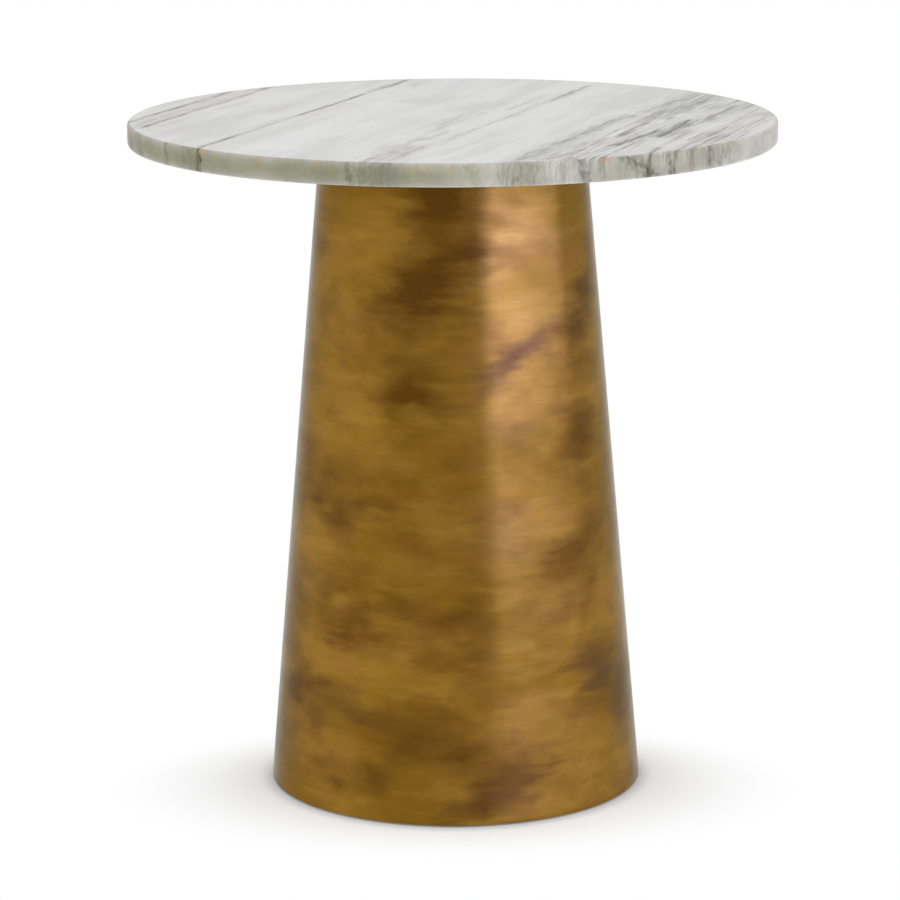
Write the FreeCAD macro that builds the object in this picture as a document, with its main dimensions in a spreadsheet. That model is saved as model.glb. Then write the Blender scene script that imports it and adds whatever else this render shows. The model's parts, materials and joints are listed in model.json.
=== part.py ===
import FreeCAD, Part
import os
import Sketcher

# Wine table: a round marble slab on a tapered drum of brass sheet.
# The frame has +Z up, and its origin on the floor, on the axis of the drum.
# Lengths are in millimetres and angles in degrees.

SCREW_COUNT = 4
GLIDE_COUNT = 4
FULL_TURN = 360
HEXAGON_SIDES = 6

# Index numbers that a sketch gives its axes and the points of a line or circle
ACROSS_AXIS_INDEX = -1
UP_AXIS_INDEX = -2
START_INDEX = 1
END_INDEX = 2
CENTRE_INDEX = 3
ORIGIN = (ACROSS_AXIS_INDEX, START_INDEX)

# Driving sizes, each with its name, its value and what it measures
DRIVING_SIZES = [
    ("table_height", 480, "floor to the upper face of the slab"),
    ("top_diameter", 457, "slab across"),
    ("top_thickness", 16, "slab"),
    ("top_edge_easing", 2.5, "rounding of both slab edges"),

    ("cone_top_diameter", 188, "outside of the drum at its upper rim"),
    ("cone_foot_diameter", 267, "outside of the drum at its lower rim"),
    ("cone_sheet", 1.5, "gauge of the drum's sheet"),
    ("cone_floor_gap", 1, "lower rim to the floor, glides screwed in"),
    ("cone_slab_gap", 0.6, "upper rim to the slab"),

    ("disc_thickness", 12, "plywood disc under the slab"),
    ("disc_side_clearance", 4, "disc to the drum's inside"),
    ("screw_edge_distance", 28, "screw axis to the edge of the disc"),
    ("gasket_thickness", 2, "foam sheet, pressed"),
    ("gasket_hole_play", 1, "foam hole wider than the screw"),
    ("plate_thickness", 4, "steel plate in the drum's mouth"),
    ("plate_hole_play", 5, "plate hole wider than the screw, to centre the top"),
    ("weld_gap", 0.2, "edge of a welded plate to the drum's inside"),

    ("screw_diameter", 6, "thread of the top's screws"),
    ("screw_head_diameter", 10.5, "button head across"),
    ("screw_head_height", 3.3, "button head"),
    ("screw_head_land", 0.8, "straight side of the head under its dome"),
    ("screw_socket_width", 4, "hexagon socket across its flats"),
    ("screw_socket_depth", 2, "hexagon socket"),
    ("screw_tip_inset", 1.2, "screw tip short of the slab"),
    ("screw_tip_chamfer", 0.8, "end of the thread"),
    ("thread_play", 0.2, "threaded bore wider than its thread"),

    ("flat_washer_diameter", 18, "wide flat washer across"),
    ("flat_washer_thickness", 1.6, "wide flat washer"),
    ("spring_washer_diameter", 11.8, "split washer across"),
    ("spring_washer_thickness", 1.6, "split washer, pressed flat"),
    ("spring_washer_split", 12, "open angle of the split washer"),
    ("washer_play", 0.4, "washer bore wider than the screw"),

    ("tee_nut_wall", 1.1, "barrel of a tee nut"),
    ("tee_nut_flange_diameter", 19, "flange across"),
    ("tee_nut_flange_thickness", 1.5, "flange"),
    ("tee_nut_sink", 0.2, "flange below the upper face of the disc"),
    ("tee_nut_short", 1, "barrel short of the lower face of the disc"),
    ("tee_nut_barrel_play", 0.1, "disc bore wider than the barrel"),
    ("tee_nut_flange_play", 1, "disc recess wider than the flange"),

    ("ring_thickness", 5, "flat ring in the foot of the drum"),
    ("ring_inner_margin", 5, "ring stands in past the glide cups"),
    ("stud_diameter", 8, "thread of a glide's stud"),
    ("stud_hole_play", 1, "ring hole wider than the stud"),
    ("stud_tip_chamfer", 1, "upper end of the thread"),
    ("stud_slot_width", 1.2, "screwdriver slot in the upper end"),
    ("stud_slot_depth", 2, "screwdriver slot"),
    ("weld_nut_wall", 2.5, "weld nut, thread to flat"),
    ("weld_nut_height", 6.5, "weld nut"),
    ("collar_wall", 2.5, "hexagon collar, stud to flat"),
    ("collar_height", 4, "hexagon collar"),
    ("glide_stop_gap", 0.3, "collar to the ring, glide screwed in"),
    ("glide_travel", 10, "how far a glide screws out"),

    ("cup_diameter", 30, "glide cup across"),
    ("cup_height", 6, "glide cup"),
    ("cup_wall", 1.5, "glide cup's sheet"),
    ("cup_inner_rounding", 1, "inside of the cup's shoulder"),
    ("cup_side_clearance", 2.5, "cup to the drum's inside"),
    ("sole_standout", 2, "sole below the cup's rim"),
    ("sole_play", 0.1, "cup to the sole's side"),
    ("sole_easing", 1, "chamfer round the sole's foot"),
    ("rivet_pin_diameter", 6, "riveted end of the stud"),
    ("rivet_head_diameter", 10, "rivet head inside the cup"),
    ("rivet_head_height", 1.5, "rivet head"),
    ("rivet_hole_play", 0.4, "cup hole wider than the rivet"),
    ("rivet_recess_play", 0.6, "sole recess wider than the rivet head"),
    ("swivel_play", 0.15, "end play of the stud in its cup"),
]

# Sizes worked out from the driving ones, each with its name and its formula
WORKED_SIZES = [
    # Levels of the stack that hangs under the slab
    ("slab_underside", "sizes.table_height - sizes.top_thickness"),
    ("disc_underside", "slab_underside - sizes.disc_thickness"),
    ("gasket_underside", "disc_underside - sizes.gasket_thickness"),
    ("plate_underside", "gasket_underside - sizes.plate_thickness"),
    ("flat_washer_underside", "plate_underside - sizes.flat_washer_thickness"),
    ("spring_washer_underside", "flat_washer_underside - sizes.spring_washer_thickness"),
    ("screw_underside", "spring_washer_underside - sizes.screw_head_height"),

    # Levels of the stack that stands on the floor
    ("cup_top", "sizes.sole_standout + sizes.cup_height"),
    ("sole_height", "cup_top - sizes.cup_wall"),
    ("stud_underside", "sole_height - sizes.swivel_play - sizes.rivet_head_height"),
    ("collar_top", "cup_top + sizes.swivel_play + sizes.collar_height"),
    ("ring_underside", "collar_top + sizes.glide_stop_gap"),
    ("ring_top", "ring_underside + sizes.ring_thickness"),
    ("stud_top", "ring_top + sizes.weld_nut_height + sizes.glide_travel"),

    # The drum's taper, with its wall measured level
    ("cone_height", "slab_underside - sizes.cone_slab_gap - sizes.cone_floor_gap"),
    ("cone_top_outer", "sizes.cone_top_diameter / 2"),
    ("cone_foot_outer", "sizes.cone_foot_diameter / 2"),
    ("cone_slope", "(cone_foot_outer - cone_top_outer) / cone_height"),
    ("cone_wall", "sizes.cone_sheet * sqrt(1 + cone_slope ^ 2)"),
    ("cone_top_inner", "cone_top_outer - cone_wall"),
    ("cone_foot_inner", "cone_foot_outer - cone_wall"),

    # What is welded or fits inside the drum
    ("weld_radius_at_floor", "cone_foot_inner + cone_slope * sizes.cone_floor_gap - sizes.weld_gap"),
    ("plate_lower_radius", "weld_radius_at_floor - cone_slope * plate_underside"),
    ("plate_upper_radius", "weld_radius_at_floor - cone_slope * gasket_underside"),
    ("ring_lower_radius", "weld_radius_at_floor - cone_slope * ring_underside"),
    ("ring_upper_radius", "weld_radius_at_floor - cone_slope * ring_top"),
    ("cup_radius", "sizes.cup_diameter / 2"),
    ("cup_room_radius", "cone_foot_inner - cone_slope * (cup_top - sizes.cone_floor_gap)"),
    ("glide_circle_radius", "cup_room_radius - sizes.cup_side_clearance - cup_radius"),
    ("ring_inner_radius", "glide_circle_radius - cup_radius - sizes.ring_inner_margin"),
    ("disc_radius", "cone_top_inner - sizes.disc_side_clearance"),
    ("disc_diameter", "2 * disc_radius"),
    ("top_radius", "sizes.top_diameter / 2"),
    ("screw_circle_radius", "disc_radius - sizes.screw_edge_distance"),

    # Screws of the top, and what they pass through
    ("screw_radius", "sizes.screw_diameter / 2"),
    ("screw_head_radius", "sizes.screw_head_diameter / 2"),
    ("screw_head_dome", "sizes.screw_head_height - sizes.screw_head_land"),
    ("screw_tip_radius", "screw_radius - sizes.screw_tip_chamfer"),
    ("screw_total_length", "slab_underside - sizes.screw_tip_inset - screw_underside"),
    ("screw_straight_length", "screw_total_length - sizes.screw_tip_chamfer"),
    ("screw_socket_corners", "sizes.screw_socket_width / cos(30)"),
    ("plate_hole_diameter", "sizes.screw_diameter + sizes.plate_hole_play"),
    ("gasket_hole_diameter", "sizes.screw_diameter + sizes.gasket_hole_play"),
    ("washer_bore", "sizes.screw_diameter + sizes.washer_play"),
    ("washer_bore_radius", "washer_bore / 2"),
    ("spring_washer_radius", "sizes.spring_washer_diameter / 2"),
    ("spring_washer_angle", "360 - sizes.spring_washer_split"),

    # Tee nuts, in the disc's own levels
    ("tee_nut_top", "sizes.disc_thickness - sizes.tee_nut_sink"),
    ("tee_nut_flange_seat", "tee_nut_top - sizes.tee_nut_flange_thickness"),
    ("tee_nut_recess_depth", "sizes.tee_nut_flange_thickness + sizes.tee_nut_sink"),
    ("tee_nut_bore_radius", "(sizes.screw_diameter + sizes.thread_play) / 2"),
    ("tee_nut_barrel_radius", "tee_nut_bore_radius + sizes.tee_nut_wall"),
    ("tee_nut_flange_radius", "sizes.tee_nut_flange_diameter / 2"),
    ("disc_barrel_hole", "2 * tee_nut_barrel_radius + sizes.tee_nut_barrel_play"),
    ("disc_flange_hole", "sizes.tee_nut_flange_diameter + sizes.tee_nut_flange_play"),

    # Glides, each piece in its own levels
    ("ring_stud_hole", "sizes.stud_diameter + sizes.stud_hole_play"),
    ("weld_nut_bore", "sizes.stud_diameter + sizes.thread_play"),
    ("weld_nut_corners", "(sizes.stud_diameter + 2 * sizes.weld_nut_wall) / cos(30)"),
    ("collar_corners", "(sizes.stud_diameter + 2 * sizes.collar_wall) / cos(30)"),
    ("cup_inner_radius", "cup_radius - sizes.cup_wall"),
    ("cup_web_underside", "sizes.cup_height - sizes.cup_wall"),
    ("cup_outer_rounding", "sizes.cup_inner_rounding + sizes.cup_wall"),
    ("cup_hole_radius", "(sizes.rivet_pin_diameter + sizes.rivet_hole_play) / 2"),
    ("sole_radius", "cup_inner_radius - sizes.sole_play"),
    ("sole_foot_radius", "sole_radius - sizes.sole_easing"),
    ("sole_shoulder_radius", "sole_radius - sizes.cup_inner_rounding"),
    ("sole_shoulder_level", "sole_height - sizes.cup_inner_rounding"),
    ("sole_recess_radius", "(sizes.rivet_head_diameter + sizes.rivet_recess_play) / 2"),
    ("sole_recess_floor", "sole_height - sizes.rivet_head_height - 2 * sizes.swivel_play"),
    ("rivet_head_radius", "sizes.rivet_head_diameter / 2"),
    ("rivet_pin_radius", "sizes.rivet_pin_diameter / 2"),
    ("stud_radius", "sizes.stud_diameter / 2"),
    ("stud_tip_radius", "stud_radius - sizes.stud_tip_chamfer"),
    ("stud_collar_level", "cup_top + sizes.swivel_play - stud_underside"),
    ("stud_length", "stud_top - stud_underside"),
    ("stud_straight_length", "stud_length - sizes.stud_tip_chamfer"),
]

doc = FreeCAD.newDocument("wine_table")


def fill_sheet(name, rows):
    """A sheet with one named cell for each row, its content beside its meaning."""
    sheet = doc.addObject("Spreadsheet::Sheet", name)
    for line, (alias, content, meaning) in enumerate(rows, start=1):
        sheet.set("A%d" % line, alias)
        sheet.set("B%d" % line, content)
        sheet.set("C%d" % line, meaning)
        sheet.setAlias("B%d" % line, alias)
    doc.recompute()
    return sheet


sizes = fill_sheet("sizes", [(alias, str(value), meaning) for alias, value, meaning in DRIVING_SIZES])
worked = fill_sheet("worked", [(alias, "=" + formula, "") for alias, formula in WORKED_SIZES])


def value(cell):
    """The number in a cell such as sizes.top_diameter, or zero for 0."""
    if cell == 0:
        return 0
    sheet_name, alias = cell.split(".")
    return float(doc.getObject(sheet_name).get(alias))


def origin_feature(body, role):
    """One of the body's own origin planes or axes."""
    return [feature for feature in body.Origin.OriginFeatures if feature.Role == role][0]


def new_body(label, level=0):
    """An empty sub-part, stood at a level above the floor."""
    body = doc.addObject("PartDesign::Body", label)
    body.Label = label
    body.AllowCompound = True
    if level:
        body.setExpression("Placement.Base.z", level)
    return body


def new_sketch(body, name, plane, outward=0, above=0):
    """A sketch on an origin plane, moved outward along X and up from the plane."""
    sketch = body.newObject("Sketcher::SketchObject", name)
    sketch.AttachmentSupport = [(origin_feature(body, plane), "")]
    sketch.MapMode = "FlatFace"
    if outward:
        sketch.setExpression("AttachmentOffset.Base.x", outward)
    if above:
        sketch.setExpression("AttachmentOffset.Base.z", above)
    return sketch


def bind(sketch, constraint, cell):
    """Add a dimension to a sketch, driven by a cell."""
    number = sketch.addConstraint(constraint)
    sketch.setExpression("Constraints[%d]" % number, cell)


def place_corner(sketch, line, across, up):
    """Fix the start of a line by its cells, or on the sketch's axis where one is 0."""
    if across == 0:
        sketch.addConstraint(Sketcher.Constraint("PointOnObject", line, START_INDEX, UP_AXIS_INDEX))
    else:
        bind(sketch, Sketcher.Constraint("DistanceX", *ORIGIN, line, START_INDEX, value(across)), across)
    if up == 0:
        sketch.addConstraint(Sketcher.Constraint("PointOnObject", line, START_INDEX, ACROSS_AXIS_INDEX))
    else:
        bind(sketch, Sketcher.Constraint("DistanceY", *ORIGIN, line, START_INDEX, value(up)), up)


def draw_lines(sketch, points):
    """A closed chain of straight lines."""
    lines = []
    for start, end in zip(points, points[1:] + points[:1]):
        lines.append(sketch.addGeometry(Part.LineSegment(start, end), False))
    for line, following in zip(lines, lines[1:] + lines[:1]):
        sketch.addConstraint(Sketcher.Constraint("Coincident", line, END_INDEX, following, START_INDEX))
    return lines


def draw_outline(sketch, corners):
    """A closed outline whose corners are pairs of cells: across, then up."""
    points = [FreeCAD.Vector(value(across), value(up), 0) for across, up in corners]
    for line, (across, up) in zip(draw_lines(sketch, points), corners):
        place_corner(sketch, line, across, up)


def draw_circle(sketch, diameter):
    """A circle about the sketch's origin."""
    shape = Part.Circle(FreeCAD.Vector(), FreeCAD.Vector(0, 0, 1), value(diameter) / 2)
    circle = sketch.addGeometry(shape, False)
    sketch.addConstraint(Sketcher.Constraint("Coincident", circle, CENTRE_INDEX, *ORIGIN))
    bind(sketch, Sketcher.Constraint("Diameter", circle, value(diameter)), diameter)
    return circle


def draw_hexagon(sketch, corner_diameter):
    """A regular hexagon whose corners lie on a circle about the sketch's origin."""
    guide = draw_circle(sketch, corner_diameter)
    sketch.setConstruction(guide, True)
    points = []
    for side in range(HEXAGON_SIDES):
        point = FreeCAD.Vector(value(corner_diameter) / 2, 0, 0)
        turn = FreeCAD.Rotation(FreeCAD.Vector(0, 0, 1), FULL_TURN / HEXAGON_SIDES * side)
        points.append(turn.multVec(point))
    lines = draw_lines(sketch, points)
    for line in lines:
        sketch.addConstraint(Sketcher.Constraint("PointOnObject", line, START_INDEX, guide))
    for line in lines[1:]:
        sketch.addConstraint(Sketcher.Constraint("Equal", lines[0], line))
    sketch.addConstraint(Sketcher.Constraint("PointOnObject", lines[0], START_INDEX, ACROSS_AXIS_INDEX))


def draw_bar(sketch, length, width):
    """A rectangle centred on the sketch's origin."""
    along = value(length) / 2
    across = value(width) / 2
    points = [FreeCAD.Vector(x, y, 0) for x, y in (
        (-along, -across), (along, -across), (along, across), (-along, across))]
    lower, right, upper, left = draw_lines(sketch, points)
    for line in (lower, upper):
        sketch.addConstraint(Sketcher.Constraint("Horizontal", line))
    for line in (right, left):
        sketch.addConstraint(Sketcher.Constraint("Vertical", line))
    sketch.addConstraint(Sketcher.Constraint("Symmetric", lower, START_INDEX, upper, START_INDEX, *ORIGIN))
    bind(sketch, Sketcher.Constraint("DistanceX", lower, START_INDEX, lower, END_INDEX, value(length)), length)
    bind(sketch, Sketcher.Constraint("DistanceY", right, START_INDEX, right, END_INDEX, value(width)), width)


def turn_outline(body, name, corners, outward=0, angle=FULL_TURN):
    """Turn an outline about the upright axis of its sketch."""
    sketch = new_sketch(body, name + "_outline", "XZ_Plane", outward)
    draw_outline(sketch, corners)
    turned = body.newObject("PartDesign::Revolution", name)
    turned.Profile = sketch
    turned.ReferenceAxis = (sketch, ["V_Axis"])
    if angle == FULL_TURN:
        turned.Angle = FULL_TURN
    else:
        turned.setExpression("Angle", angle)
    doc.recompute()
    return turned


def raise_sketch(body, name, sketch, length):
    """Pad a sketch upwards."""
    pad = body.newObject("PartDesign::Pad", name)
    pad.Profile = sketch
    pad.setExpression("Length", length)
    doc.recompute()
    return pad


def raise_disc(body, name, diameter, thickness):
    """A round plate about the body's axis."""
    sketch = new_sketch(body, name + "_outline", "XY_Plane")
    draw_circle(sketch, diameter)
    return raise_sketch(body, name, sketch, thickness)


def cut_sketch(body, name, sketch, depth=0, upward=True):
    """Cut a sketch out of the body, right through where no depth is given."""
    before = body.Shape.Volume
    pocket = body.newObject("PartDesign::Pocket", name)
    pocket.Profile = sketch
    pocket.Reversed = upward
    if depth:
        pocket.Type = "Length"
        pocket.setExpression("Length", depth)
    else:
        pocket.Type = "ThroughAll"
    doc.recompute()
    if not body.Shape.Volume < before:
        raise RuntimeError("nothing was cut by " + pocket.Name)
    return pocket


def cut_hole(body, name, diameter, outward, depth=0, above=0, upward=True):
    """A round hole at a distance from the body's axis."""
    sketch = new_sketch(body, name + "_outline", "XY_Plane", outward, above)
    draw_circle(sketch, diameter)
    return cut_sketch(body, name, sketch, depth, upward)


def repeat_round(body, name, count, features=None):
    """Repeat features, or the whole sub-part, evenly round the body's upright axis."""
    pattern = body.newObject("PartDesign::PolarPattern", name)
    if features:
        pattern.Originals = features
    else:
        pattern.TransformMode = "Whole shape"
    pattern.Axis = (origin_feature(body, "Z_Axis"), [""])
    pattern.Angle = FULL_TURN
    pattern.Occurrences = count
    body.Tip = pattern
    doc.recompute()


def round_rims(body, name, radius, rims):
    """Round the circular edges that have these radii and levels in the body."""
    base = body.Tip
    wanted = [(value(rim_radius), value(rim_level)) for rim_radius, rim_level in rims]
    closest = Part.Precision.confusion()
    names = []
    for number, edge in enumerate(base.Shape.Edges, start=1):
        if edge.Curve.TypeId != "Part::GeomCircle":
            continue
        for rim_radius, rim_level in wanted:
            off_radius = abs(edge.Curve.Radius - rim_radius)
            off_level = abs(edge.Curve.Center.z - rim_level)
            if max(off_radius, off_level) < closest:
                names.append("Edge%d" % number)
    if len(names) != len(rims):
        raise RuntimeError("%s found %d rims of %d" % (name, len(names), len(rims)))
    fillet = body.newObject("PartDesign::Fillet", name)
    fillet.Base = (base, names)
    fillet.setExpression("Radius", radius)
    doc.recompute()


def make_marble_top():
    """Round slab of stone with both edges eased."""
    body = new_body("marble_top", "worked.slab_underside")
    raise_disc(body, "slab", "sizes.top_diameter", "sizes.top_thickness")
    rims = [("worked.top_radius", 0), ("worked.top_radius", "sizes.top_thickness")]
    round_rims(body, "slab_easing", "sizes.top_edge_easing", rims)
    return body


def make_mounting_disc():
    """Plywood disc bonded to the slab, with a stepped bore for each tee nut."""
    body = new_body("mounting_disc", "worked.disc_underside")
    raise_disc(body, "disc", "worked.disc_diameter", "sizes.disc_thickness")
    barrel_bore = cut_hole(
        body, "disc_barrel_bore", "worked.disc_barrel_hole", "worked.screw_circle_radius")
    flange_recess = cut_hole(
        body, "disc_flange_recess", "worked.disc_flange_hole", "worked.screw_circle_radius",
        depth="worked.tee_nut_recess_depth", above="sizes.disc_thickness", upward=False)
    repeat_round(body, "disc_bores", SCREW_COUNT, [barrel_bore, flange_recess])
    return body


def make_tee_nuts():
    """Threaded tee nuts, let in from the disc's upper face so that the screws pull them home."""
    body = new_body("tee_nuts", "worked.disc_underside")
    turn_outline(body, "tee_nut", [
        ("worked.tee_nut_bore_radius", "sizes.tee_nut_short"),
        ("worked.tee_nut_barrel_radius", "sizes.tee_nut_short"),
        ("worked.tee_nut_barrel_radius", "worked.tee_nut_flange_seat"),
        ("worked.tee_nut_flange_radius", "worked.tee_nut_flange_seat"),
        ("worked.tee_nut_flange_radius", "worked.tee_nut_top"),
        ("worked.tee_nut_bore_radius", "worked.tee_nut_top"),
    ], outward="worked.screw_circle_radius")
    repeat_round(body, "tee_nut_circle", SCREW_COUNT)
    return body


def make_top_gasket():
    """Foam sheet between the disc and the steel plate."""
    body = new_body("top_gasket", "worked.gasket_underside")
    raise_disc(body, "gasket", "worked.disc_diameter", "sizes.gasket_thickness")
    hole = cut_hole(body, "gasket_hole", "worked.gasket_hole_diameter", "worked.screw_circle_radius")
    repeat_round(body, "gasket_holes", SCREW_COUNT, [hole])
    return body


def make_base_top_plate():
    """Steel plate welded in the drum's mouth, its edge cut to the taper."""
    body = new_body("base_top_plate", "worked.plate_underside")
    turn_outline(body, "plate", [
        (0, 0),
        ("worked.plate_lower_radius", 0),
        ("worked.plate_upper_radius", "sizes.plate_thickness"),
        (0, "sizes.plate_thickness"),
    ])
    hole = cut_hole(body, "plate_hole", "worked.plate_hole_diameter", "worked.screw_circle_radius")
    repeat_round(body, "plate_holes", SCREW_COUNT, [hole])
    return body


def make_flat_washers():
    """Wide washers that cover the plate's oversize holes."""
    body = new_body("flat_washers", "worked.flat_washer_underside")
    sketch = new_sketch(body, "flat_washer_outline", "XY_Plane", "worked.screw_circle_radius")
    draw_circle(sketch, "sizes.flat_washer_diameter")
    draw_circle(sketch, "worked.washer_bore")
    raise_sketch(body, "flat_washer", sketch, "sizes.flat_washer_thickness")
    repeat_round(body, "flat_washer_circle", SCREW_COUNT)
    return body


def make_spring_washers():
    """Split washers, pressed flat by the screw heads."""
    body = new_body("spring_washers", "worked.spring_washer_underside")
    turn_outline(body, "spring_washer", [
        ("worked.washer_bore_radius", 0),
        ("worked.spring_washer_radius", 0),
        ("worked.spring_washer_radius", "sizes.spring_washer_thickness"),
        ("worked.washer_bore_radius", "sizes.spring_washer_thickness"),
    ], outward="worked.screw_circle_radius", angle="worked.spring_washer_angle")
    repeat_round(body, "spring_washer_circle", SCREW_COUNT)
    return body


def make_top_screws():
    """Button head screws, heads down, driven from inside the drum."""
    body = new_body("top_screws", "worked.screw_underside")
    turn_outline(body, "screw", [
        (0, 0),
        ("worked.screw_head_radius", 0),
        ("worked.screw_head_radius", "sizes.screw_head_height"),
        ("worked.screw_radius", "sizes.screw_head_height"),
        ("worked.screw_radius", "worked.screw_straight_length"),
        ("worked.screw_tip_radius", "worked.screw_total_length"),
        (0, "worked.screw_total_length"),
    ], outward="worked.screw_circle_radius")
    round_rims(body, "screw_dome", "worked.screw_head_dome", [("worked.screw_head_radius", 0)])
    socket = new_sketch(body, "screw_socket_outline", "XY_Plane", "worked.screw_circle_radius")
    draw_hexagon(socket, "worked.screw_socket_corners")
    cut_sketch(body, "screw_socket", socket, depth="sizes.screw_socket_depth")
    repeat_round(body, "screw_circle", SCREW_COUNT)
    return body


def make_base_cone():
    """Tapered drum rolled from sheet, open at both ends."""
    body = new_body("base_cone", "sizes.cone_floor_gap")
    turn_outline(body, "cone", [
        ("worked.cone_foot_inner", 0),
        ("worked.cone_foot_outer", 0),
        ("worked.cone_top_outer", "worked.cone_height"),
        ("worked.cone_top_inner", "worked.cone_height"),
    ])
    return body


def make_foot_ring():
    """Flat ring welded in the drum's foot, with a clear hole for each glide's stud."""
    body = new_body("foot_ring", "worked.ring_underside")
    turn_outline(body, "ring", [
        ("worked.ring_inner_radius", 0),
        ("worked.ring_lower_radius", 0),
        ("worked.ring_upper_radius", "sizes.ring_thickness"),
        ("worked.ring_inner_radius", "sizes.ring_thickness"),
    ])
    hole = cut_hole(body, "ring_hole", "worked.ring_stud_hole", "worked.glide_circle_radius")
    repeat_round(body, "ring_holes", GLIDE_COUNT, [hole])
    return body


def make_weld_nuts():
    """Hexagon nuts welded on the ring, one over each glide."""
    body = new_body("weld_nuts", "worked.ring_top")
    sketch = new_sketch(body, "weld_nut_outline", "XY_Plane", "worked.glide_circle_radius")
    draw_hexagon(sketch, "worked.weld_nut_corners")
    draw_circle(sketch, "worked.weld_nut_bore")
    raise_sketch(body, "weld_nut", sketch, "sizes.weld_nut_height")
    repeat_round(body, "weld_nut_circle", GLIDE_COUNT)
    return body


def stand_on_glide_circle(body, number):
    """Move a glide's piece out to its place round the drum."""
    turn = FULL_TURN / GLIDE_COUNT * (number - 1)
    body.setExpression("Placement.Base.x", "worked.glide_circle_radius * cos(%g deg)" % turn)
    body.setExpression("Placement.Base.y", "worked.glide_circle_radius * sin(%g deg)" % turn)


def make_glide_cup(number):
    """Pressed cup, mouth down, with a hole for the stud's riveted end."""
    body = new_body("glide_cup_%d" % number, "sizes.sole_standout")
    stand_on_glide_circle(body, number)
    turn_outline(body, "cup", [
        ("worked.cup_hole_radius", "worked.cup_web_underside"),
        ("worked.cup_inner_radius", "worked.cup_web_underside"),
        ("worked.cup_inner_radius", 0),
        ("worked.cup_radius", 0),
        ("worked.cup_radius", "sizes.cup_height"),
        ("worked.cup_hole_radius", "sizes.cup_height"),
    ])
    inner_rim = ("worked.cup_inner_radius", "worked.cup_web_underside")
    outer_rim = ("worked.cup_radius", "sizes.cup_height")
    round_rims(body, "cup_inner_shoulder", "sizes.cup_inner_rounding", [inner_rim])
    round_rims(body, "cup_outer_shoulder", "worked.cup_outer_rounding", [outer_rim])
    return body


def make_glide_sole(number):
    """Nylon plug that fills the cup and meets the floor, hollowed for the rivet head."""
    body = new_body("glide_sole_%d" % number)
    stand_on_glide_circle(body, number)
    turn_outline(body, "sole", [
        (0, 0),
        ("worked.sole_foot_radius", 0),
        ("worked.sole_radius", "sizes.sole_easing"),
        ("worked.sole_radius", "worked.sole_shoulder_level"),
        ("worked.sole_shoulder_radius", "worked.sole_height"),
        ("worked.sole_recess_radius", "worked.sole_height"),
        ("worked.sole_recess_radius", "worked.sole_recess_floor"),
        (0, "worked.sole_recess_floor"),
    ])
    return body


def make_glide_stud(number):
    """Threaded stud with a hexagon collar, its lower end riveted in the cup to swivel."""
    body = new_body("glide_stud_%d" % number, "worked.stud_underside")
    stand_on_glide_circle(body, number)
    turn_outline(body, "stud", [
        (0, 0),
        ("worked.rivet_head_radius", 0),
        ("worked.rivet_head_radius", "sizes.rivet_head_height"),
        ("worked.rivet_pin_radius", "sizes.rivet_head_height"),
        ("worked.rivet_pin_radius", "worked.stud_collar_level"),
        ("worked.stud_radius", "worked.stud_collar_level"),
        ("worked.stud_radius", "worked.stud_straight_length"),
        ("worked.stud_tip_radius", "worked.stud_length"),
        (0, "worked.stud_length"),
    ])
    collar = new_sketch(body, "collar_outline", "XY_Plane", above="worked.stud_collar_level")
    draw_hexagon(collar, "worked.collar_corners")
    raise_sketch(body, "collar", collar, "sizes.collar_height")
    slot = new_sketch(body, "slot_outline", "XY_Plane", above="worked.stud_length")
    draw_bar(slot, "worked.collar_corners", "sizes.stud_slot_width")
    cut_sketch(body, "slot", slot, depth="sizes.stud_slot_depth", upward=False)
    return body


pieces = [
    make_marble_top(),
    make_mounting_disc(),
    make_tee_nuts(),
    make_top_gasket(),
    make_base_top_plate(),
    make_flat_washers(),
    make_spring_washers(),
    make_top_screws(),
    make_base_cone(),
    make_foot_ring(),
    make_weld_nuts(),
]
for glide_number in range(1, GLIDE_COUNT + 1):
    pieces.append(make_glide_cup(glide_number))
    pieces.append(make_glide_sole(glide_number))
    pieces.append(make_glide_stud(glide_number))
doc.recompute()

# Nothing is written unless the whole document and every solid in it is sound
for item in doc.Objects:
    if "Invalid" in item.State or "Error" in item.State:
        raise RuntimeError("%s failed: %s" % (item.Name, item.State))
for piece in pieces:
    if piece.Shape.isNull() or not piece.Shape.isValid() or not piece.Shape.Solids:
        raise RuntimeError(piece.Label + " has no sound solid")

os.makedirs("parts", exist_ok=True)
for piece in pieces:
    piece.Shape.exportStep("parts/%s.step" % piece.Label)
    print("%s: solids %d, volume %.1f" % (piece.Label, len(piece.Shape.Solids), piece.Shape.Volume))
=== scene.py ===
# %% [markdown]
# # Dressing a wine table
# The table is a round slab of veined marble on a tapered drum of antiqued brass. Under the drum are four
# levelling glides, and inside it are the plate, screws and ring that hold it together.
# The construction comes as a finished frame, in metres. This lesson only adds looks: the slab, the drum and
# the glides' studs are made again with finer shapes, weld beads are laid where the sheet is welded, and every
# other piece keeps its shape and gets a finish.

# %% Load the frame
import json
import math

import bmesh
import bpy
from mathutils import Matrix
from mathutils import Vector


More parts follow.
